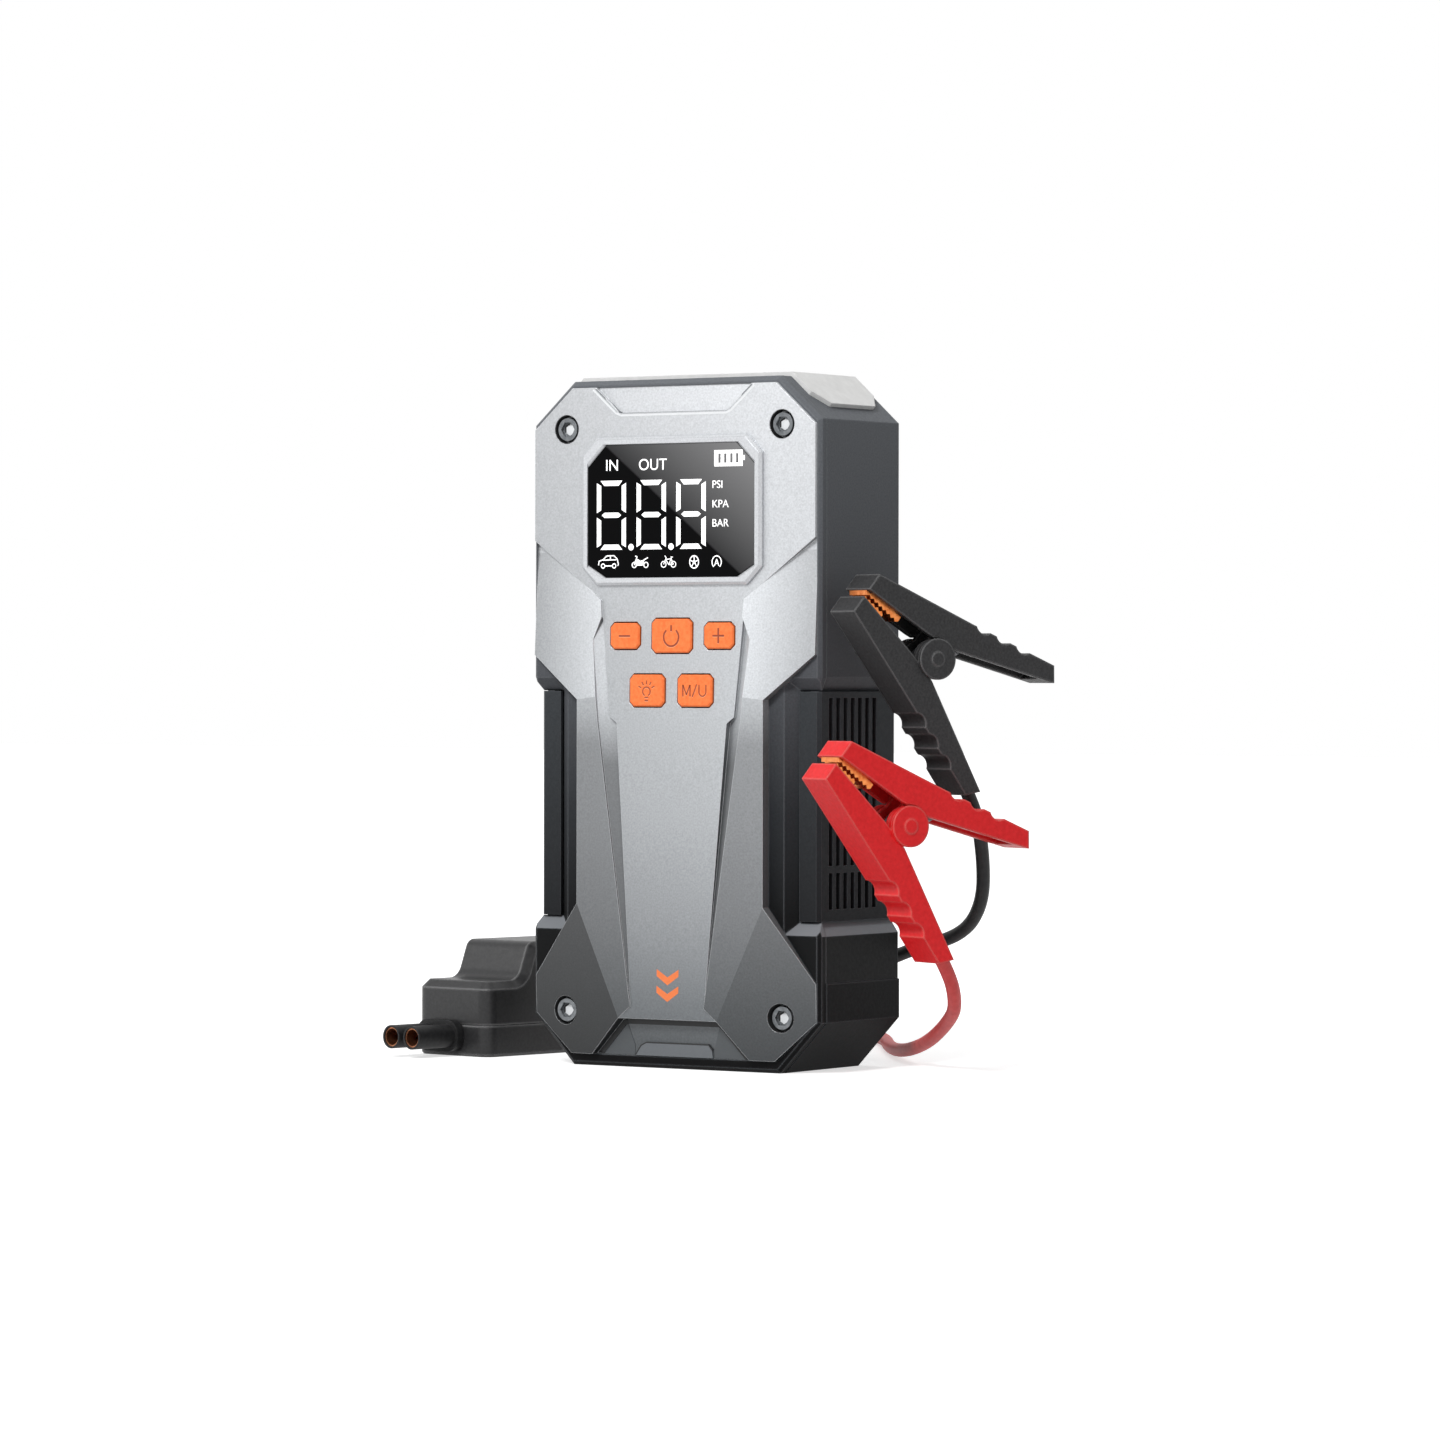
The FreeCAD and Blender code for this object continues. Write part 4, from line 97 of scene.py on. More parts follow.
# Cords: the same points as the tubes, from the gland to the clamp
RED_CABLE = (
    (-80.3, 86.0, 15.0), (-77.6, 103.2, 14.4), (-67.5, 120.0, 10.5), (-48.0, 128.5, 5.5),
    (-25.0, 125.0, 2.4), (-5.5, 104.0, 2.0), (11.0, 79.0, 2.0), (28.0, 56.0, 2.4),
    (44.5, 37.2, 4.2), (59.4, 23.4, 7.9), (71.6, 13.2, 14.0), (81.5, 2.0, 19.8),
    (84.9, -8.2, 31.0), (80.9, -16.3, 43.7),
)
BLACK_CABLE = (
    (-67.4, 84.0, 15.0), (-65.0, 99.1, 14.3), (-55.0, 111.0, 12.0), (-40.3, 115.8, 8.2),
    (-25.5, 110.5, 5.0), (-12.5, 97.0, 4.2), (-1.5, 80.5, 7.5), (10.5, 60.5, 17.0),
    (27.0, 44.5, 28.0), (45.0, 38.0, 34.0), (64.5, 33.5, 38.5), (76.0, 25.5, 48.0),
    (80.5, 18.5, 61.5), (80.1, 14.1, 78.1), (76.1, 6.0, 90.8),
)
CABLE_RADIUS = 2.0


def make_cord(name, points):
    data = bpy.data.curves.new(name, "CURVE")
    data.dimensions = "3D"
    data.resolution_u = 24
    # The bevel is one unit wide and each point's radius brings it to the cable's
    data.bevel_depth = 1.0
    data.bevel_resolution = 8
    data.use_fill_caps = True
    spline = data.splines.new("NURBS")
    spline.points.add(len(points) - 1)
    for spot, point in zip(spline.points, points):
        spot.co = (*mm(*point), 1.0)
        spot.radius = CABLE_RADIUS * MM
    spline.order_u = 3
    spline.use_endpoint_u = True
    cord = add(name, data)
    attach(cord, "jumper_lead")
    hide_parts(name)
    return cord


red_cable = make_cord("red_cable", RED_CABLE)
black_cable = make_cord("black_cable", BLACK_CABLE)


# Materials
def linear(colour):
    """Screen colour, 0 to 255, as the shader wants it."""
    channels = []
    for channel in colour:
        share = channel / 255
        if share <= 0.04045:
            channels.append(share / 12.92)
        else:
            channels.append(((share + 0.055) / 1.055) ** 2.4)
    return (*channels, 1.0)


def grey(level):
    return (level, level, level, 1.0)


# Painted highlight and shade on edges: the change of direction over which it comes in, and its share
EDGE_SPREAD = 0.12
EDGE_SHARE = 0.7


class Finish:
    """A node material with its surface shader at hand."""

    def __init__(self, name, colour, roughness, metallic=0.0, coat=0.0, specular=0.5):
        self.material = bpy.data.materials.new(name)
        self.material.use_nodes = True
        self.tree = self.material.node_tree
        self.shader = self.tree.nodes["Principled BSDF"]
        self.shader.inputs["Base Color"].default_value = linear(colour)
        self.shader.inputs["Roughness"].default_value = roughness
        self.shader.inputs["Metallic"].default_value = metallic
        self.shader.inputs["Coat Weight"].default_value = coat
        self.shader.inputs["Specular IOR Level"].default_value = specular
        self.place = self.node("ShaderNodeTexCoord").outputs["Object"]

    def node(self, kind, **settings):
        item = self.tree.nodes.new(kind)
        for key, setting in settings.items():
            setattr(item, key, setting)
        return item

    def link(self, start, end):
        self.tree.links.new(start, end)

    def split(self, vector):
        """A vector's X, Y and Z."""
        parts = self.node("ShaderNodeSeparateXYZ")
        self.link(vector, parts.inputs[0])
        return parts.outputs

    def flat_normal(self):
        """The way that the flat face points."""
        return self.node("ShaderNodeNewGeometry").outputs["True Normal"]

    def unsigned(self, value):
        item = self.node("ShaderNodeMath", operation="ABSOLUTE")
        self.link(value, item.inputs[0])
        return item.outputs[0]

    def reach(self, value, start, end, low=0.0, high=1.0, way="LINEAR"):
        """A number that goes from low to high while the value goes from start to end."""
        item = self.node("ShaderNodeMapRange", interpolation_type=way)
        item.inputs["From Min"].default_value = start
        item.inputs["From Max"].default_value = end
        item.inputs["To Min"].default_value = low
        item.inputs["To Max"].default_value = high
        self.link(value, item.inputs["Value"])
        return item.outputs["Result"]

    def blend(self, factor, one, other, kind="MIX"):
        """Two colours mixed; the factor and each colour are another node's or fixed."""
        mix = self.node("ShaderNodeMix", data_type="RGBA", blend_type=kind)
        for given, socket in ((factor, mix.inputs["Factor"]), (one, mix.inputs[6]),
                              (other, mix.inputs[7])):
            if isinstance(given, bpy.types.NodeSocket):
                self.link(given, socket)
            else:
                socket.default_value = given
        return mix.outputs[2]

    def times(self, colour, other):
        """One colour multiplied by another."""
        return self.blend(1.0, colour, other, "MULTIPLY")

    def base(self):
        """The colour that the surface has so far."""
        return self.shader.inputs["Base Color"].links[0].from_socket

    def paint(self, colour):
        self.link(colour, self.shader.inputs["Base Color"])
        return self

    def noise(self, per_metre, detail=3.0):
        item = self.node("ShaderNodeTexNoise")
        item.inputs["Scale"].default_value = per_metre
        item.inputs["Detail"].default_value = detail
        item.inputs["Roughness"].default_value = 0.55
        self.link(self.place, item.inputs["Vector"])
        return item.outputs["Fac"]

    def ramp(self, factor, low, high, low_at=0.3, high_at=0.7):
        item = self.node("ShaderNodeValToRGB")
        item.color_ramp.elements[0].position = low_at
        item.color_ramp.elements[1].position = high_at
        item.color_ramp.elements[0].color = low
        item.color_ramp.elements[1].color = high
        self.link(factor, item.inputs["Fac"])
        return item.outputs["Color"]

    def mottled(self, low, high, per_metre):
        """Colour that varies in patches of a size."""
        return self.paint(self.ramp(self.noise(per_metre), linear(low), linear(high)))

    def painted_height_shade_with_grain(self, *stops):
        """Colour that changes from the floor up, a painted shade that darkens towards the floor, with a
        fine grain over it: heights in mm, and screen colours there.
        """
        lowest, first = stops[0]
        highest, last = stops[-1]
        ramp = self.node("ShaderNodeValToRGB")
        marks = ramp.color_ramp.elements
        marks[0].color = linear(first)
        marks[1].color = linear(last)
        for height, colour in stops[1:-1]:
            mark = marks.new((height - lowest) / (highest - lowest))
            mark.color = linear(colour)
        share = self.reach(self.split(self.place)["Z"], lowest * MM, highest * MM)
        self.link(share, ramp.inputs["Fac"])
        grain = self.ramp(self.noise(1900), grey(0.84), grey(1.14), 0.25, 0.75)
        return self.paint(self.times(ramp.outputs["Color"], grain))

    def steps(self, factor, low, high, *marks):
        """Grey levels that change sharply at given values of a factor."""
        ramp = self.node("ShaderNodeValToRGB")
        ramp.color_ramp.interpolation = "CONSTANT"
        elements = ramp.color_ramp.elements
        elements.remove(elements[1])
        for number, (start, level) in enumerate(marks):
            spot = (start - low) / (high - low)
            element = elements[0] if number == 0 else elements.new(spot)
            element.position = spot
            element.color = grey(level)
        self.link(self.reach(factor, low, high), ramp.inputs["Fac"])
        return ramp.outputs["Color"]

    def ledges(self):
        """Painted light: a lighter tone on what faces up near the foot, as the lit ledges show."""
        up = self.steps(self.split(self.flat_normal())["Z"], -1.0, 1.0, (-1.0, 0.0), (0.3, 1.0))
        low = self.steps(self.split(self.place)["Z"], 0.0, 200 * MM, (0.0, 1.0), (75 * MM, 0.0))
        return self.paint(self.blend(self.times(up, low), self.base(), linear((118, 121, 125))))

    def painted_facet_shading(self):
        """Painted light and shade on the cover's flat facets, told apart by the way each one faces."""
        facing = self.split(self.flat_normal())
        place = self.split(self.place)
        # Painted shade by how far each facet turns sideways: middle, legs, feet, slits, then the walls
        # of cuts
        sideways = self.steps(self.unsigned(facing["X"]), 0.0, 1.0, (0.0, 1.0), (0.03, 0.56),
                              (0.09, 0.52), (0.3, 0.34), (0.7, 0.5))
        # The facets beside the keys and the screen lose most of this painted shade and are nearly as
        # light as the middle
        upper = self.reach(place["Z"], 72 * MM, 112 * MM, 0.0, 0.96, "SMOOTHSTEP")
        sideways = self.blend(1.0, sideways, upper, "LIGHTEN")
        # Painted light and shade by tilt: downward walls, flat ones, facets that lean up, and upward
        # walls
        upright = self.steps(facing["Z"], -1.0, 1.0, (-1.0, 0.5), (-0.6, 0.8), (-0.02, 1.0),
                             (0.045, 1.08), (0.3, 1.3))
        # Painted shade: the left foot faces away from the light, and the left side has less of it
        away = self.steps(facing["X"], -1.0, 1.0, (-1.0, 0.7), (-0.3, 0.45), (-0.09, 1.0))
        across = self.reach(place["X"], -50 * MM, 30 * MM, 0.74, 1.04)
        # Painted highlight: the arms shine at their inner ends
        arm = self.times(
            self.steps(facing["Z"], -1.0, 1.0, (-1.0, 0.0), (0.045, 1.0), (0.3, 0.0)),
            self.steps(place["Z"], 0.0, 200 * MM, (0.0, 1.0), (150 * MM, 0.0)))
        inner = self.reach(self.unsigned(place["X"]), 24 * MM, 47 * MM, 1.3, 0.8)
        shine = self.blend(arm, grey(1.0), inner)
        # All this painted light and shade together, over the colour so far
        tone = self.times(self.times(sideways, upright), self.times(away, across))
        return self.paint(self.times(self.base(), self.times(tone, shine)))

    def varied_gloss(self, low, high, per_metre):
        """Roughness that varies between two values in patches of a size."""
        rough = self.ramp(self.noise(per_metre), grey(low), grey(high))
        self.link(rough, self.shader.inputs["Roughness"])
        return self

    def painted_edge_shading(self, bevel, colour, start):
        """Painted highlight along edges, where the rounded normal leaves the flat one; painted shade
        where the given colour is darker.
        """
        match = self.node("ShaderNodeVectorMath", operation="DOT_PRODUCT")
        self.link(bevel.outputs["Normal"], match.inputs[0])
        self.link(self.flat_normal(), match.inputs[1])
        amount = self.reach(match.outputs["Value"], start, start - EDGE_SPREAD, 0.0, EDGE_SHARE)
        self.paint(self.blend(amount, self.base(), linear(colour)))

    def grained(self, per_metre, depth, strength=0.35, edge=0.0, shine=None, start=0.99):
        """Fine bumps over the surface, and softly rounded edges where asked, with the shine colour
        painted along them: painted highlight where it is lighter than the surface, painted shade where
        darker.
        """
        bump = self.node("ShaderNodeBump")
        bump.inputs["Strength"].default_value = strength
        bump.inputs["Distance"].default_value = depth * MM
        self.link(self.noise(per_metre, 2.0), bump.inputs["Height"])
        if edge:
            bevel = self.node("ShaderNodeBevel", samples=4)
            bevel.inputs["Radius"].default_value = edge * MM
            if shine:
                self.painted_edge_shading(bevel, shine, start)
            self.link(bevel.outputs["Normal"], bump.inputs["Normal"])
        self.link(bump.outputs["Normal"], self.shader.inputs["Normal"])
        return self


# By material slot of the record: name, screen colour and roughness, then what varies
# The height shades of the cover and the shells, the cover's facet tones, the ledge tones and the edge
# shine colours are painted light and shade
FINISHES = {
    "cover_silver": Finish("silver_paint", (196, 198, 202), 0.4, metallic=0.35)
    .painted_height_shade_with_grain((0, (84, 88, 91)), (18, (108, 112, 115)), (43, (142, 145, 148)), (72, (164, 167, 170)),
            (105, (176, 179, 182)), (200, (198, 200, 203)))
    .painted_facet_shading().grained(1700, 0.07, 0.45, edge=0.3, shine=(226, 228, 231), start=0.9993),
    "bezel_silver": Finish("silver_rim", (198, 200, 203), 0.34, metallic=0.3, specular=0.2)
    .mottled((186, 188, 191), (204, 206, 209), 1800)
    .grained(1700, 0.05, 0.3, edge=0.3, shine=(120, 123, 127)),
    "case_dark": Finish("slate_shell", (66, 69, 73), 0.5, specular=0.07)
    .painted_height_shade_with_grain((0, (11, 11, 12)), (45, (16, 17, 18)), (75, (42, 44, 47)), (120, (80, 82, 86)),
            (200, (98, 101, 105)))
    .ledges().varied_gloss(0.42, 0.58, 900)
    .grained(1900, 0.06, 0.45, edge=0.7, shine=(118, 121, 125)),
    "panel_dark": Finish("slate_panel", (60, 63, 67), 0.55, specular=0.07)
    .painted_height_shade_with_grain((40, (30, 31, 33)), (115, (56, 59, 62))).varied_gloss(0.48, 0.62, 900)
    .grained(1900, 0.07, 0.5, edge=0.3, shine=(96, 99, 103)),
    "bumper_rubber": Finish("bumper_rubber", (20, 20, 21), 0.62, specular=0.07)
    .mottled((15, 15, 16), (26, 27, 28), 1300).grained(1500, 0.06, 0.4, edge=0.8, shine=(92, 94, 97)),
    "screw_steel": Finish("screw_steel", (104, 107, 110), 0.38, metallic=0.7)
    .mottled((92, 95, 98), (122, 125, 128), 700).grained(2500, 0.02, 0.25, edge=0.15),
    "key_orange": Finish("orange_key", (246, 124, 64), 0.45, specular=0.25)
    .mottled((238, 112, 54), (248, 132, 72), 1100)
    .grained(1800, 0.04, 0.35, edge=0.3, shine=(206, 92, 44)),
    "diffuser_pale": Finish("frosted_band", (212, 212, 211), 0.38, coat=0.1, specular=0.3)
    .mottled((206, 206, 205), (218, 218, 217), 260).grained(2200, 0.03, 0.25, edge=0.4),
    "board_green": Finish("board_green", (28, 92, 56), 0.45)
    .mottled((22, 80, 48), (38, 104, 66), 900).grained(900, 0.05, 0.3),
    "cell_foil": Finish("cell_foil", (178, 180, 183), 0.35, metallic=0.8)
    .mottled((166, 168, 172), (190, 192, 195), 300).grained(350, 0.15, 0.3),
    "motor_steel": Finish("spring_steel", (150, 152, 155), 0.3, metallic=0.95)
    .mottled((136, 138, 142), (170, 172, 175), 800).grained(1500, 0.03, 0.25),
    "casting_alloy": Finish("cast_alloy", (164, 166, 169), 0.5, metallic=0.85)
    .mottled((148, 150, 154), (180, 182, 185), 700).grained(900, 0.12, 0.5),
    "pad_rubber": Finish("pad_rubber", (96, 97, 99), 0.7)
    .mottled((88, 89, 91), (104, 105, 107), 500).grained(1200, 0.05, 0.3),
    "hose_rubber": Finish("black_rubber", (26, 26, 27), 0.55, specular=0.2)
    .mottled((20, 20, 21), (34, 34, 35), 900).grained(1400, 0.05, 0.35),
    "port_dark": Finish("port_plastic", (24, 24, 26), 0.5, specular=0.2)
    .mottled((18, 18, 20), (32, 32, 34), 900).grained(1600, 0.05, 0.3, edge=0.25),
    "contact_brass": Finish("copper_contact", (150, 98, 70), 0.35, metallic=0.9)
    .mottled((132, 84, 58), (176, 120, 88), 600).grained(1500, 0.02, 0.2),
    "box_black": Finish("box_satin", (41, 41, 42), 0.36, specular=0.3)
    .mottled((36, 36, 37), (46, 46, 47), 1200).varied_gloss(0.3, 0.42, 700)
    .grained(2000, 0.03, 0.35, edge=1.1, shine=(158, 158, 159)),
    "plug_black": Finish("plug_plastic", (30, 30, 31), 0.5, specular=0.2)
    .mottled((24, 24, 25), (38, 38, 39), 900).grained(1600, 0.05, 0.35, edge=0.3),
    "cable_red": Finish("red_sheath", (204, 58, 56), 0.5)
    .mottled((196, 50, 50), (212, 68, 66), 500).grained(1500, 0.04, 0.3),
    "cable_black": Finish("black_sheath", (32, 32, 33), 0.5, specular=0.25)
    .mottled((26, 26, 27), (40, 40, 41), 500).grained(1500, 0.04, 0.3),
    "clamp_red": Finish("red_clamp", (216, 30, 34), 0.34, specular=0.22)
    .mottled((208, 26, 30), (224, 36, 40), 900).varied_gloss(0.3, 0.44, 700)
    .grained(1900, 0.04, 0.35, edge=0.9, shine=(244, 128, 120)),
    "clamp_black": Finish("black_clamp", (46, 46, 47), 0.5, specular=0.2)
    .mottled((38, 38, 39), (56, 56, 57), 1500).varied_gloss(0.42, 0.58, 900)
    .grained(1900, 0.07, 0.55, edge=0.9, shine=(134, 134, 135)),
    "jaw_copper": Finish("jaw_copper", (222, 128, 66), 0.3, metallic=0.9)
    .mottled((204, 108, 50), (238, 152, 88), 700).grained(1500, 0.03, 0.3),
}
slots = {item["node"]: item["material_slot"] for item in frame["record"]["subparts"]}

# How far up the painted reflection on the glass, a sheen, moves for each step to the left
SHEEN_SLOPE = 0.8
# Where the painted reflection begins and where it is brightest, past the middle of the glass
SHEEN_START = 0.4
SHEEN_END = 40.0


def screen_glass():
    """Black glass with a painted reflection: the soft diagonal sheen that runs over its upper right."""
    finish = Finish("screen_glass", (4, 4, 5), 0.12, specular=0.06)
    place = finish.split(finish.place)
    slant = finish.node("ShaderNodeMath", operation="MULTIPLY_ADD")
    finish.link(place["X"], slant.inputs[0])
    slant.inputs[1].default_value = SHEEN_SLOPE
    finish.link(place["Z"], slant.inputs[2])
    low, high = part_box("display_glass")
    middle = (low.z + high.z) / 2
    sheen = finish.reach(slant.outputs[0], middle + SHEEN_START * MM, middle + SHEEN_END * MM)
    ramp = finish.node("ShaderNodeValToRGB")
    marks = ramp.color_ramp.elements
    marks[0].color = linear((3, 3, 4))
    marks[1].color = linear((126, 126, 127))
    edge = marks.new(0.02)
    edge.color = linear((52, 52, 53))
    finish.link(sheen, ramp.inputs["Fac"])
    return finish.paint(ramp.outputs["Color"]).grained(120, 0.004, 0.1)


FINISHES["screen_glass"] = screen_glass()
FINISHES["screen_black"] = FINISHES["port_dark"]


def wear(thing, finish_name):
    thing.data.materials.clear()
    thing.data.materials.append(FINISHES[finish_name].material)


for node_name, node in frame["nodes"].items():
    wear(node, slots[node_name])
wear(red_cable, "cable_red")
wear(black_cable, "cable_black")


# Flat marks that lie on a face of the unit
def flat_material(name, colour, glow=0.0, roughness=0.4):
    finish = Finish(name, colour, roughness)
    finish.mottled([0.97 * channel for channel in colour], colour, 900)
    if glow:
        finish.shader.inputs["Emission Color"].default_value = linear(colour)
        finish.shader.inputs["Emission Strength"].default_value = glow
    return finish.material


WHITE_MARK = flat_material("lit_white", (250, 250, 250), glow=0.55)
ORANGE_MARK = flat_material("orange_print", (236, 122, 62))
# Painted shade in the grooves of the keys' signs
KEY_SIGN_SHADE = flat_material("key_sign_painted_shade", (142, 56, 22))
# Dark marks: the lower notch's rim, and painted shade along the notch step's edge, in the screw sockets
# and round the screw heads
RIM_DARK = flat_material("rim_dark", (24, 25, 26), roughness=0.6)
# Painted shade on facets of the cover: deep, then soft
FACET_DEEP_SHADE = flat_material("facet_deep_shade", (70, 74, 77), roughness=0.5)
FACET_SOFT_SHADE = flat_material("facet_soft_shade", (98, 102, 106), roughness=0.5)
# A painted shade line for the upper notch's edges
EDGE_SHADE_GREY = flat_material("edge_shade_grey", (120, 123, 126), roughness=0.5)
# Painted highlight: the upper notch's bevels and the floors of the screw sockets
PAINTED_HIGHLIGHT_PALE = flat_material("pale_painted_highlight", (222, 224, 226), roughness=0.4)
# Painted highlight along the lower edges of the keys' signs
KEY_SIGN_HIGHLIGHT = flat_material("key_sign_painted_highlight", (252, 168, 118))


class Marks:
    """Thin raised shapes gathered into one piece, drawn in X and Z on a face."""

    def __init__(self, name, material, depth_at, thickness=0.03):
        self.name = name
        self.material = material
        self.depth_at = depth_at
        self.thickness = thickness
        self.mesh = bmesh.new()

    def polygon(self, corners):
        """A filled outline, counter-clockwise seen from the front."""
        rings = []
        for lift in (0.0, self.thickness):
            ring = []
            for x, z in corners:
                y = self.depth_at(x, z) - lift
                ring.append(self.mesh.verts.new(mm(x, y, z)))
            rings.append(ring)
        back, front = rings
        self.mesh.faces.new(front)
        self.mesh.faces.new(list(reversed(back)))
        count = len(corners)
        for index in range(count):
            after = (index + 1) % count
            self.mesh.faces.new((back[index], back[after], front[after], front[index]))

    def line(self, start, end, width):
        """A straight bar with square ends."""
        run = Vector((end[0] - start[0], end[1] - start[1]))
        side = Vector((-run.y, run.x)).normalized() * width / 2
        self.polygon([(start[0] - side.x, start[1] - side.y), (end[0] - side.x, end[1] - side.y),
                      (end[0] + side.x, end[1] + side.y), (start[0] + side.x, start[1] + side.y)])

    def box(self, left, low, right, high):
        self.polygon([(left, low), (right, low), (right, high), (left, high)])

    def arc(self, centre, radius, width, start, end, steps=24, squeeze=1.0):
        """A curved bar from one angle to another, in degrees."""
        outer = []
        inner = []
        for step in range(steps + 1):
            angle = math.radians(start + (end - start) * step / steps)
            way = (math.cos(angle), squeeze * math.sin(angle))
            outer.append((centre[0] + (radius + width / 2) * way[0],
                          centre[1] + (radius + width / 2) * way[1]))
            inner.append((centre[0] + (radius - width / 2) * way[0],
                          centre[1] + (radius - width / 2) * way[1]))
        for step in range(steps):
            self.polygon([inner[step], outer[step], outer[step + 1], inner[step + 1]])

    def disc(self, centre, radius, steps=20):
        self.polygon([(centre[0] + radius * math.cos(2 * math.pi * step / steps),
                       centre[1] + radius * math.sin(2 * math.pi * step / steps))
                      for step in range(steps)])

    def finish(self, body, slot):
        bmesh.ops.recalc_face_normals(self.mesh, faces=self.mesh.faces)
        data = bpy.data.meshes.new(self.name)
        self.mesh.to_mesh(data)
        self.mesh.free()
        data.materials.append(self.material)
        piece = add(self.name, data)
        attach(piece, body)


def strokes(marks, x, z, width, pairs):
    """Straight bars between pairs of places, measured from one corner."""
    for start, end in pairs:
        marks.line((x + start[0], z + start[1]), (x + end[0], z + end[1]), width)


GLASS_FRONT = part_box("display_glass")[0].y / MM


def on_glass(x, z):
    return GLASS_FRONT


# Width of a figure's bars, and the gap that parts them
BAR = 1.5
BAR_GAP = 0.3


def digit(marks, left, low, width, height):
    """An eight of seven bars with slanted ends."""
    right = left + width
    high = low + height
    middle = low + height / 2
    for base, top in ((low, middle), (middle, high)):
        for outer, way in ((left, 1), (right, -1)):
            inner = outer + way * BAR
            start = base + BAR_GAP + 0.25 * BAR
            end = top - BAR_GAP - 0.25 * BAR
            slope = 0.55 * BAR
            marks.polygon([(outer, start), (inner, start + slope), (inner, end - slope), (outer, end)])
    # Bars at the foot and the top, then the middle one with its two points
    long_end = 1.3
    short_end = 2.6
    for z, way in ((low, 1), (high, -1)):
        marks.polygon([(left + long_end, z), (right - long_end, z),
                       (right - short_end, z + way * BAR), (left + short_end, z + way * BAR)])
    point = 1.7
    shoulder = 2.7
    marks.polygon([(left + point, middle), (left + shoulder, middle + BAR / 2),
                   (right - shoulder, middle + BAR / 2), (right - point, middle),
                   (right - shoulder, middle - BAR / 2), (left + shoulder, middle - BAR / 2)])


LETTER_LIFT = 0.03
# Font size that gives capitals of one millimetre
CAPITAL_SIZE = 1.38


def write(name, text, x, z, height):
    """Plain capitals on the glass, turned into a thin mesh."""
    data = bpy.data.curves.new(name, "FONT")
    data.body = text
    data.size = height * MM * CAPITAL_SIZE
    data.extrude = LETTER_LIFT * MM / 2
    letters = add(name + "_letters", data)
    letters.matrix_world = (Matrix.Translation(mm(x, GLASS_FRONT - LETTER_LIFT / 2, z))
                            @ Matrix.Rotation(math.pi / 2, 4, "X"))
    bpy.context.view_layer.update()
    mesh = bpy.data.meshes.new_from_object(letters.evaluated_get(
        bpy.context.evaluated_depsgraph_get()))
    mesh.transform(letters.matrix_world)
    mesh.name = name
    mesh.materials.clear()
    mesh.materials.append(WHITE_MARK)
    bpy.data.objects.remove(letters)
    bpy.data.curves.remove(data)
    piece = add(name, mesh)
    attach(piece, "unit")


def battery_gauge(marks):
    """A filled case with four dark bars left open, and its cap."""
    left, low, right, high = 15.1, 174.2, 24.9, 178.9
    wall = 1.0
    open_width = 0.85
    marks.box(left, low, right, low + wall)
    marks.box(left, high - wall, right, high)
    edge = left
    for bar in (16.5, 18.5, 20.6, 22.6):
        marks.box(edge, low + wall, bar, high - wall)
        edge = bar + open_width
    marks.box(edge, low + wall, right, high - wall)
    marks.box(right, low + 1.7, right + 0.75, high - 1.6)


def screen_figures():
    marks = Marks("display_figures", WHITE_MARK, on_glass)
    for left in (-25.9, -11.9, 1.95):
        digit(marks, left, 150.6, 10.25, 20.1)
    for x in (-13.85, 0.15):
        marks.disc((x, 151.3), 0.95)
    battery_gauge(marks)
    marks.finish("unit", "screen_black")
    for name, text, x, z, height in (
        ("mark_in", "IN", -23.0, 173.6, 3.4), ("mark_out", "OUT", -11.3, 173.6, 3.4),
        ("mark_psi", "PSI", 14.3, 168.0, 2.3), ("mark_kpa", "KPA", 14.3, 162.4, 2.3),
        ("mark_bar", "BAR", 14.3, 156.9, 2.3),
    ):
        write(name, text, x, z, height)


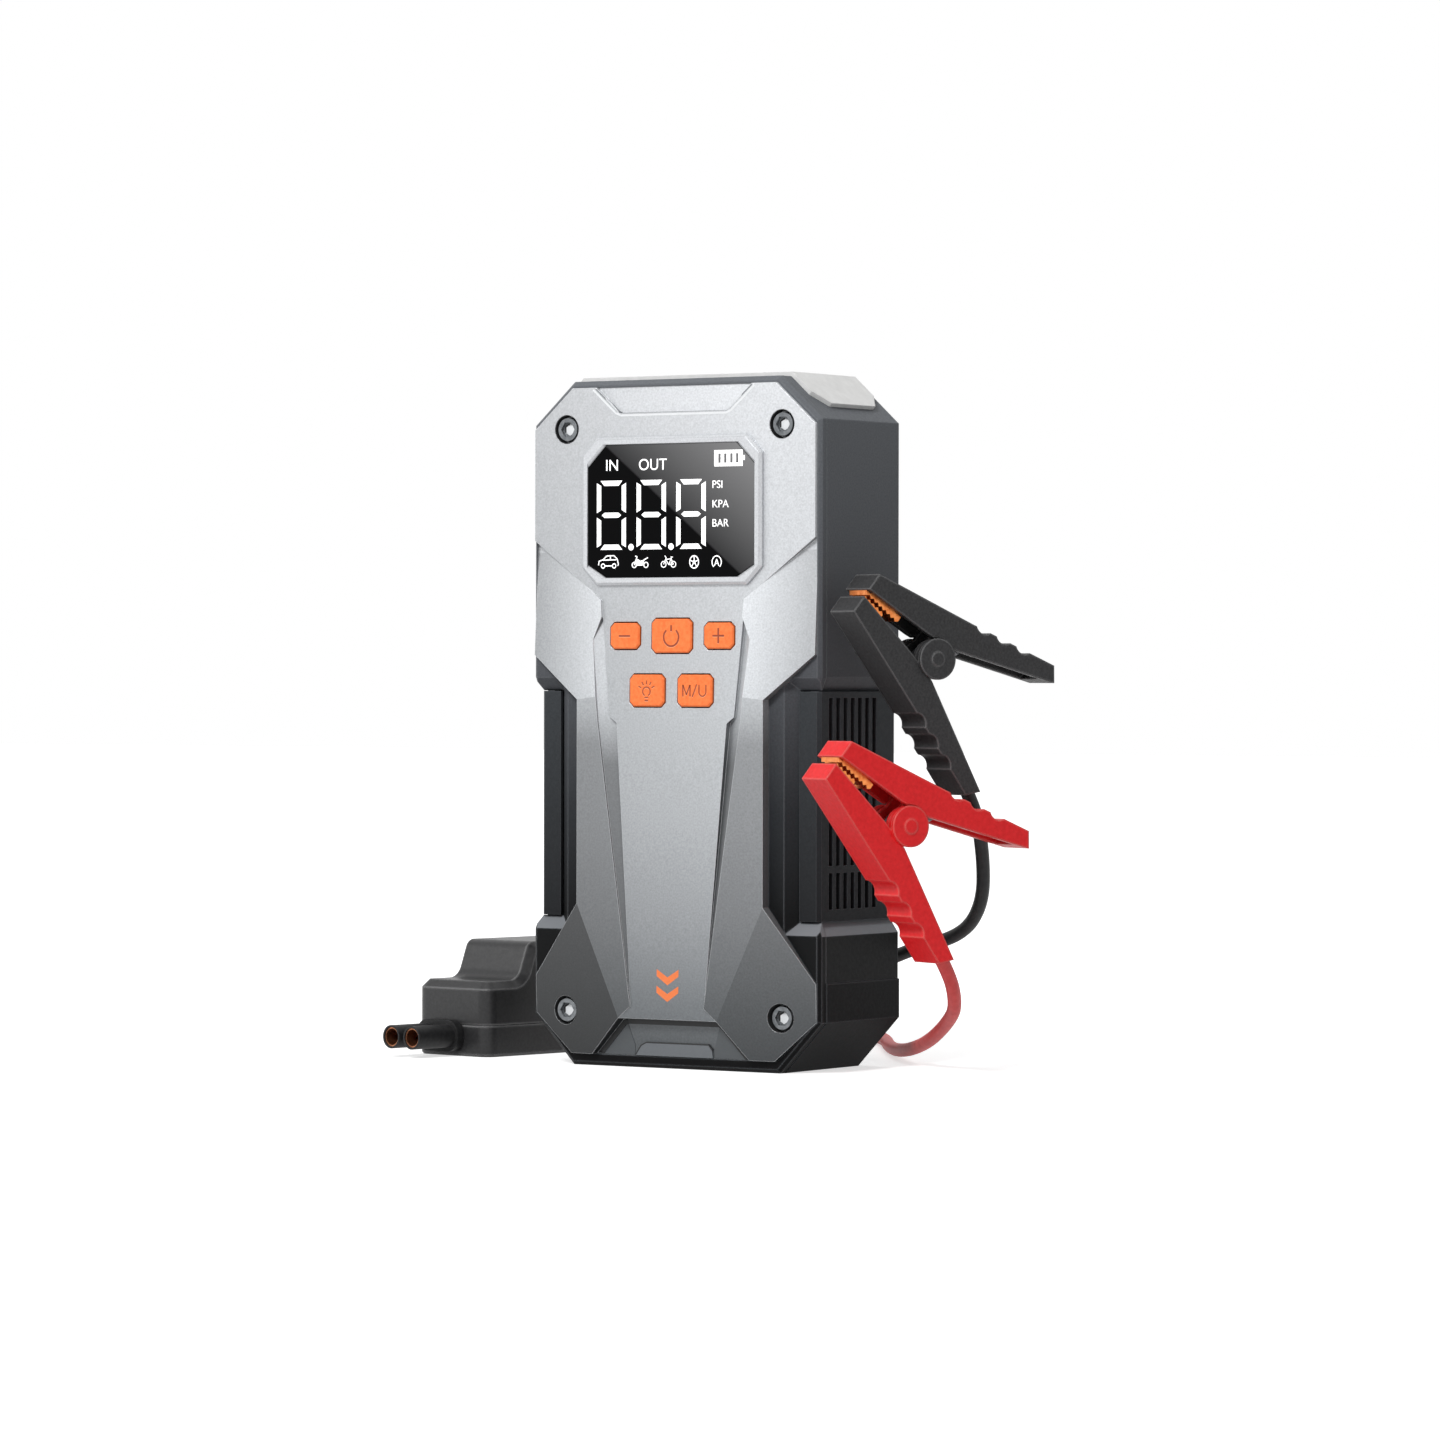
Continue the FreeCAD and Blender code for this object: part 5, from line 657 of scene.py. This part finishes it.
def screen_icons():
    """The row of small signs under the figures."""
    icons = Marks("display_icons", WHITE_MARK, on_glass)
    line = 0.32
    thin = 0.26
    # Car
    x, z = -25.3, 145.2
    body = ((0.0, 0.9), (0.2, 2.1), (1.6, 2.5), (2.9, 3.6), (5.4, 3.7), (6.6, 2.7), (7.0, 1.2),
            (6.8, 0.7))
    strokes(icons, x, z, line, zip(body, body[1:]))
    strokes(icons, x, z, line, (((1.6, 2.4), (6.3, 2.5)), ((4.2, 2.4), (4.2, 3.6)),
                                ((2.4, 0.7), (4.7, 0.7))))
    for wheel in (1.6, 5.5):
        icons.arc((x + wheel, z + 0.7), 0.62, line, 0, 360, 16)
    # Motorcycle
    x, z = -13.6, 145.2
    for wheel in (0.9, 5.0):
        icons.arc((x + wheel, z + 0.9), 0.75, line, 0, 360, 16)
    tank = ((1.6, 0.7), (3.8, 0.7), (4.5, 2.4), (3.0, 2.1), (2.0, 2.7), (1.2, 2.0))
    icons.polygon([(x + right, z + up) for right, up in tank])
    strokes(icons, x, z, line, (((0.9, 0.9), (1.9, 3.3)), ((1.9, 3.3), (1.2, 3.5)),
                                ((4.2, 2.3), (5.7, 3.0))))
    # Bicycle
    x, z = -3.4, 145.2
    for wheel in (1.0, 4.4):
        icons.arc((x + wheel, z + 1.0), 0.85, thin, 0, 360, 18)
    strokes(icons, x, z, thin,
            (((1.0, 1.0), (1.9, 2.9)), ((1.9, 2.9), (1.4, 3.5)), ((1.7, 2.4), (3.6, 2.6)),
             ((3.6, 2.6), (4.4, 1.0)), ((4.4, 1.0), (2.8, 0.9)), ((2.8, 0.9), (1.7, 2.4)),
             ((2.8, 0.9), (3.8, 3.1)), ((3.4, 3.1), (4.2, 3.1))))
    # Ball
    x, z = 8.2, 146.8
    icons.arc((x, z), 1.55, 0.3, 0, 360, 24, squeeze=1.15)
    icons.disc((x, z), 0.55, 6)
    for spoke in range(5):
        angle = math.radians(90 + 72 * spoke)
        icons.line((x + 0.5 * math.cos(angle), z + 0.5 * math.sin(angle)),
                   (x + 1.5 * math.cos(angle), z + 1.7 * math.sin(angle)), 0.3)
    # Own setting: an open ring around a peak
    x, z = 16.0, 146.7
    icons.arc((x, z), 1.6, 0.3, -50, 230, 22, squeeze=1.1)
    icons.line((x - 0.75, z - 1.1), (x, z + 0.85), 0.3)
    icons.line((x, z + 0.85), (x + 0.75, z - 1.1), 0.3)
    icons.line((x - 0.45, z - 0.4), (x + 0.45, z - 0.4), 0.26)
    icons.finish("unit", "screen_black")


def key_face(name):
    """Depth of a key's face, the same all over."""
    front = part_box(name)[0].y / MM

    def depth(x, z):
        return front
    return depth


# Widths of the grooves: minus, plus and power, then the lamp, then the letters
SIGN_BROAD = 0.55
SIGN_LAMP = 0.36
SIGN_LETTER = 0.38


def draw_sign(marks, sign, x, z):
    if sign in ("minus", "plus"):
        marks.line((x - 2.0, z), (x + 2.0, z), SIGN_BROAD)
    if sign == "plus":
        marks.line((x, z - 2.2), (x, z - 0.27), SIGN_BROAD)
        marks.line((x, z + 0.27), (x, z + 2.2), SIGN_BROAD)
    if sign == "power":
        marks.arc((x, z - 0.4), 2.6, SIGN_BROAD, 130, 410, 30)
        marks.line((x, z + 1.3), (x, z + 3.1), SIGN_BROAD)
    if sign == "lamp":
        marks.arc((x, z - 0.3), 1.3, SIGN_LAMP, -60, 240, 24)
        marks.line((x - 0.65, z - 2.0), (x + 0.65, z - 2.0), SIGN_LAMP)
        marks.line((x - 0.6, z - 2.9), (x + 0.6, z - 2.9), 0.4)
        for turn in (30, 60, 90, 120, 150):
            angle = math.radians(turn)
            way = (math.cos(angle), math.sin(angle))
            marks.line((x + 2.1 * way[0], z - 0.3 + 2.1 * way[1]),
                       (x + 3.2 * way[0], z - 0.3 + 3.2 * way[1]), 0.34)
    if sign == "mode":
        strokes(marks, x, z, SIGN_LETTER,
                (((-4.0, -1.7), (-4.0, 1.7)), ((-4.0, 1.7), (-2.75, -1.2)),
                 ((-2.75, -1.2), (-1.5, 1.7)), ((-1.5, 1.7), (-1.5, -1.7)),
                 ((-0.7, -1.8), (0.8, 1.8)), ((1.6, 1.7), (1.6, -0.4)), ((4.0, 1.7), (4.0, -0.4))))
        marks.arc((x + 2.8, z - 0.4), 1.2, SIGN_LETTER, 180, 360, 14)


def key_marks():
    """Grooved signs on the keys, each a dark line of painted shade with a lighter lower edge of painted
    highlight.
    """
    for name, x, z, sign in (
        ("minus_button", -16.35, 125.5, "minus"), ("plus_button", 16.35, 125.5, "plus"),
        ("power_button", 0.0, 125.5, "power"), ("light_button", -8.35, 109.65, "lamp"),
        ("mode_button", 8.35, 109.65, "mode"),
    ):
        # Each sign gets a painted highlight a little lower down, then the painted shade of its groove
        for shade, material, shift, thickness in (("light", KEY_SIGN_HIGHLIGHT, -0.16, 0.015),
                                                  ("groove", KEY_SIGN_SHADE, 0.0, 0.03)):
            marks = Marks("%s_%s" % (name.replace("_button", "_sign"), shade), material,
                          key_face(name), thickness)
            draw_sign(marks, sign, x, z + shift)
            marks.finish(name, "key_orange")


# The cover's middle panel: its depth at its top, and how far it leans out over its height
PANEL_DEPTH = -22.3
PANEL_TOP = 136.0
PANEL_LEAN = 2.7 / 121.6


def on_cover(x, z):
    return PANEL_DEPTH - (PANEL_TOP - z) * PANEL_LEAN


def surface_of(*names):
    """Depth of the front-most face of some pieces, at a place seen from the front."""
    trees = []
    for name in names:
        thing = frame["nodes"][name]
        corners = [thing.matrix_world @ corner.co for corner in thing.data.vertices]
        trees.append(BVHTree.FromPolygons(corners, [face.vertices for face in thing.data.polygons]))

    def depth(x, z):
        hits = [tree.ray_cast(mm(x, -200.0, z), Vector((0, 1, 0)))[0] for tree in trees]
        depths = [hit.y / MM for hit in hits if hit is not None]
        return min(depths) if depths else 0.0
    return depth


def band(marks, path, width, pieces=12):
    """A strip of even width along a path, in short lengths that follow the face."""
    for start, end in zip(path, path[1:]):
        for step in range(pieces):
            first = [a + (b - a) * step / pieces for a, b in zip(start, end)]
            last = [a + (b - a) * (step + 1.02) / pieces for a, b in zip(start, end)]
            marks.line(first, last, width)


def mirrored(path):
    return path + [(-x, z) for x, z in reversed(path)]


# Upper notch: half widths at its mouth and floor, and the height of its floor
NOTCH_OUTER = 27.2
NOTCH_INNER = 18.7
NOTCH_LOW = 190.3


def notch_details():
    """Dark rim of the lower notch, painted shade on its side facets, raised step and the step's edge; a
    painted shade line and a painted highlight along the edges of the upper one.
    """
    depth = surface_of("front_cover")
    rim = Marks("lower_notch_rim", RIM_DARK, depth, 0.35)
    band(rim, mirrored([(-26.0, 3.4), (-17.1, 12.8), (-16.0, 13.4)]), 1.5)
    rim.finish("unit", "case_dark")
    # Painted shade: the side facets, darker than the cover
    sides = Marks("lower_notch_sides", FACET_DEEP_SHADE, depth, 0.12)
    sides.polygon([(-25.2, 3.6), (-13.8, 3.6), (-13.6, 6.5), (-16.0, 12.8), (-16.6, 12.8)])
    sides.polygon([(25.2, 3.6), (16.6, 12.8), (16.0, 12.8), (14.2, 6.8), (14.3, 3.6)])
    sides.finish("unit", "cover_silver")
    # Painted shade, less deep: the raised step
    step = Marks("lower_notch_step", FACET_SOFT_SHADE, depth, 0.5)
    step.polygon([(-13.2, 3.6), (13.6, 3.6), (13.4, 5.6), (12.2, 7.3), (-9.4, 7.3), (-11.2, 6.4)])
    step.finish("unit", "cover_silver")
    # Painted shade along the step's edge
    edge = Marks("lower_notch_step_edge", RIM_DARK, depth, 0.55)
    band(edge, [(-13.4, 3.7), (-11.3, 6.5), (-9.5, 7.4), (12.2, 7.4), (13.6, 5.9)], 0.34)
    edge.finish("unit", "case_dark")
    low = NOTCH_LOW
    # Painted shade line along the upper notch's edges
    line = Marks("upper_notch_line", EDGE_SHADE_GREY, depth, 0.06)
    band(line, mirrored([(-NOTCH_OUTER, 197.6), (-NOTCH_INNER - 0.8, low + 0.7),
                         (-NOTCH_INNER + 0.6, low)]), 0.34)
    line.finish("unit", "cover_silver")
    # Painted highlight along the upper notch's bevels
    shine = Marks("upper_notch_shine", PAINTED_HIGHLIGHT_PALE, depth, 0.05)
    band(shine, mirrored([(-NOTCH_OUTER - 0.9, 197.4), (-NOTCH_INNER - 1.4, low + 0.1),
                          (-NOTCH_INNER + 0.4, low - 0.6)]), 0.6)
    shine.finish("unit", "cover_silver")


# Front screws: half their distance, their heights, and the radii of socket and head
SCREW_X = 37.5
SCREW_ROWS = (16.0, 186.0)
SOCKET_RADIUS = 1.75
HEAD_RADIUS = 4.05
SHADE_WIDTH = 0.55
RING_WIDTH = 0.42


def screw_sockets():
    """Painted highlight on the hexagon sockets' floors, painted shade on their upper left edges and a
    painted shade ring round each head.
    """
    depth = surface_of("front_screws", "front_cover")
    floors = Marks("screw_socket_floors", PAINTED_HIGHLIGHT_PALE, depth, 0.04)
    shades = Marks("screw_socket_shades", RIM_DARK, depth, 0.06)
    for x in (-SCREW_X, SCREW_X):
        for z in SCREW_ROWS:
            angles = [math.radians(30 + 60 * turn) for turn in range(6)]
            corners = [(x + SOCKET_RADIUS * math.cos(angle), z + SOCKET_RADIUS * math.sin(angle))
                       for angle in angles]
            floors.polygon(corners)
            for first, last in ((1, 2), (2, 3)):
                shades.line(corners[first], corners[last], SHADE_WIDTH)
            shades.arc((x, z), HEAD_RADIUS, RING_WIDTH, 0, 360, 36)
    floors.finish("unit", "screw_steel")
    shades.finish("unit", "screw_steel")


def chevrons():
    marks = Marks("cover_chevrons", ORANGE_MARK, on_cover)
    half = 3.8
    for top in (29.0, 24.2):
        for side in (1, -1):
            corners = [(0.0, top - 4.6), (side * half, top - 2.0), (side * half, top),
                       (0.0, top - 2.3)]
            if side < 0:
                corners.reverse()
            marks.polygon(corners)
    marks.finish("unit", "key_orange")


screen_figures()
screen_icons()
key_marks()
chevrons()
notch_details()
screw_sockets()


# Floor, backdrop and light: the floor's grey and glow near the object
FLOOR_GREY = 0.7
FLOOR_GLOW = 0.62
# From here on the floor turns to plain white, which it is from there on
FLOOR_NEAR = 120
FLOOR_FAR = 420
# Strength of the light from all round, and of the white seen behind the object
ROUND_LIGHT = 0.34
BACKDROP = 1.0


def seen(tree):
    """One for rays from the camera, from a gloss and through glass, and nothing for the others."""
    rays = tree.nodes.new("ShaderNodeLightPath").outputs
    total = rays["Is Camera Ray"]
    for kind in ("Is Glossy Ray", "Is Transmission Ray"):
        larger = tree.nodes.new("ShaderNodeMath")
        larger.operation = "MAXIMUM"
        tree.links.new(total, larger.inputs[0])
        tree.links.new(rays[kind], larger.inputs[1])
        total = larger.outputs[0]
    return total


def floor_paint():
    """A pale surface that keeps shadows and is seen as plain white away from the object."""
    finish = Finish("floor_white", (255, 255, 255), 0.9, specular=0.1)
    finish.shader.inputs["Base Color"].default_value = grey(FLOOR_GREY)
    finish.shader.inputs["Emission Color"].default_value = grey(1.0)
    apart = finish.node("ShaderNodeVectorMath", operation="LENGTH")
    finish.link(finish.place, apart.inputs[0])
    glow = finish.reach(apart.outputs["Value"], FLOOR_NEAR * MM, FLOOR_FAR * MM, FLOOR_GLOW, BACKDROP,
                        "SMOOTHSTEP")
    amount = finish.node("ShaderNodeMath", operation="MULTIPLY")
    finish.link(seen(finish.tree), amount.inputs[0])
    finish.link(glow, amount.inputs[1])
    finish.link(amount.outputs[0], finish.shader.inputs["Emission Strength"])
    return finish.material


def make_floor():
    mesh = bpy.data.meshes.new("floor")
    # Metres from the middle to each side
    side = 6.0
    mesh.from_pydata([(-side, -side, 0), (side, -side, 0), (side, side, 0), (-side, side, 0)],
                     [], [(0, 1, 2, 3)])
    mesh.materials.append(floor_paint())
    add("floor", mesh)


def make_world():
    """Soft light from all round, behind which everything seen is plain white."""
    world = bpy.data.worlds.new("studio")
    bpy.context.scene.world = world
    world.use_nodes = True
    tree = world.node_tree
    tree.nodes.clear()
    mix = tree.nodes.new("ShaderNodeMixShader")
    tree.links.new(seen(tree), mix.inputs["Fac"])
    for place, strength in ((1, ROUND_LIGHT), (2, BACKDROP)):
        light = tree.nodes.new("ShaderNodeBackground")
        light.inputs["Color"].default_value = grey(1.0)
        light.inputs["Strength"].default_value = strength
        tree.links.new(light.outputs[0], mix.inputs[place])
    out = tree.nodes.new("ShaderNodeOutputWorld")
    tree.links.new(mix.outputs[0], out.inputs["Surface"])


def lamp(name, place, target, watts, width, height):
    """An area lamp; its place, target and size are in metres."""
    data = bpy.data.lights.new(name, "AREA")
    data.shape = "RECTANGLE"
    data.size = width
    data.size_y = height
    data.energy = watts
    thing = add(name, data)
    way = Vector(target) - Vector(place)
    thing.matrix_world = Matrix.Translation(place) @ way.to_track_quat("-Z", "Y").to_matrix().to_4x4()


make_floor()
make_world()
lamp("key_light", (0.12, -0.92, 0.85), (0.0, 0.0, 0.14), 10.0, 0.3, 0.3)
lamp("left_light", (-0.9, -0.6, 0.45), (0.0, 0.0, 0.1), 2.6, 0.5, 0.8)
lamp("top_light", (0.0, 0.1, 0.9), (0.0, 0.0, 0.1), 1.8, 0.7, 0.5)
bpy.context.scene.view_settings.view_transform = "Standard"

bpy.context.view_layer.update()
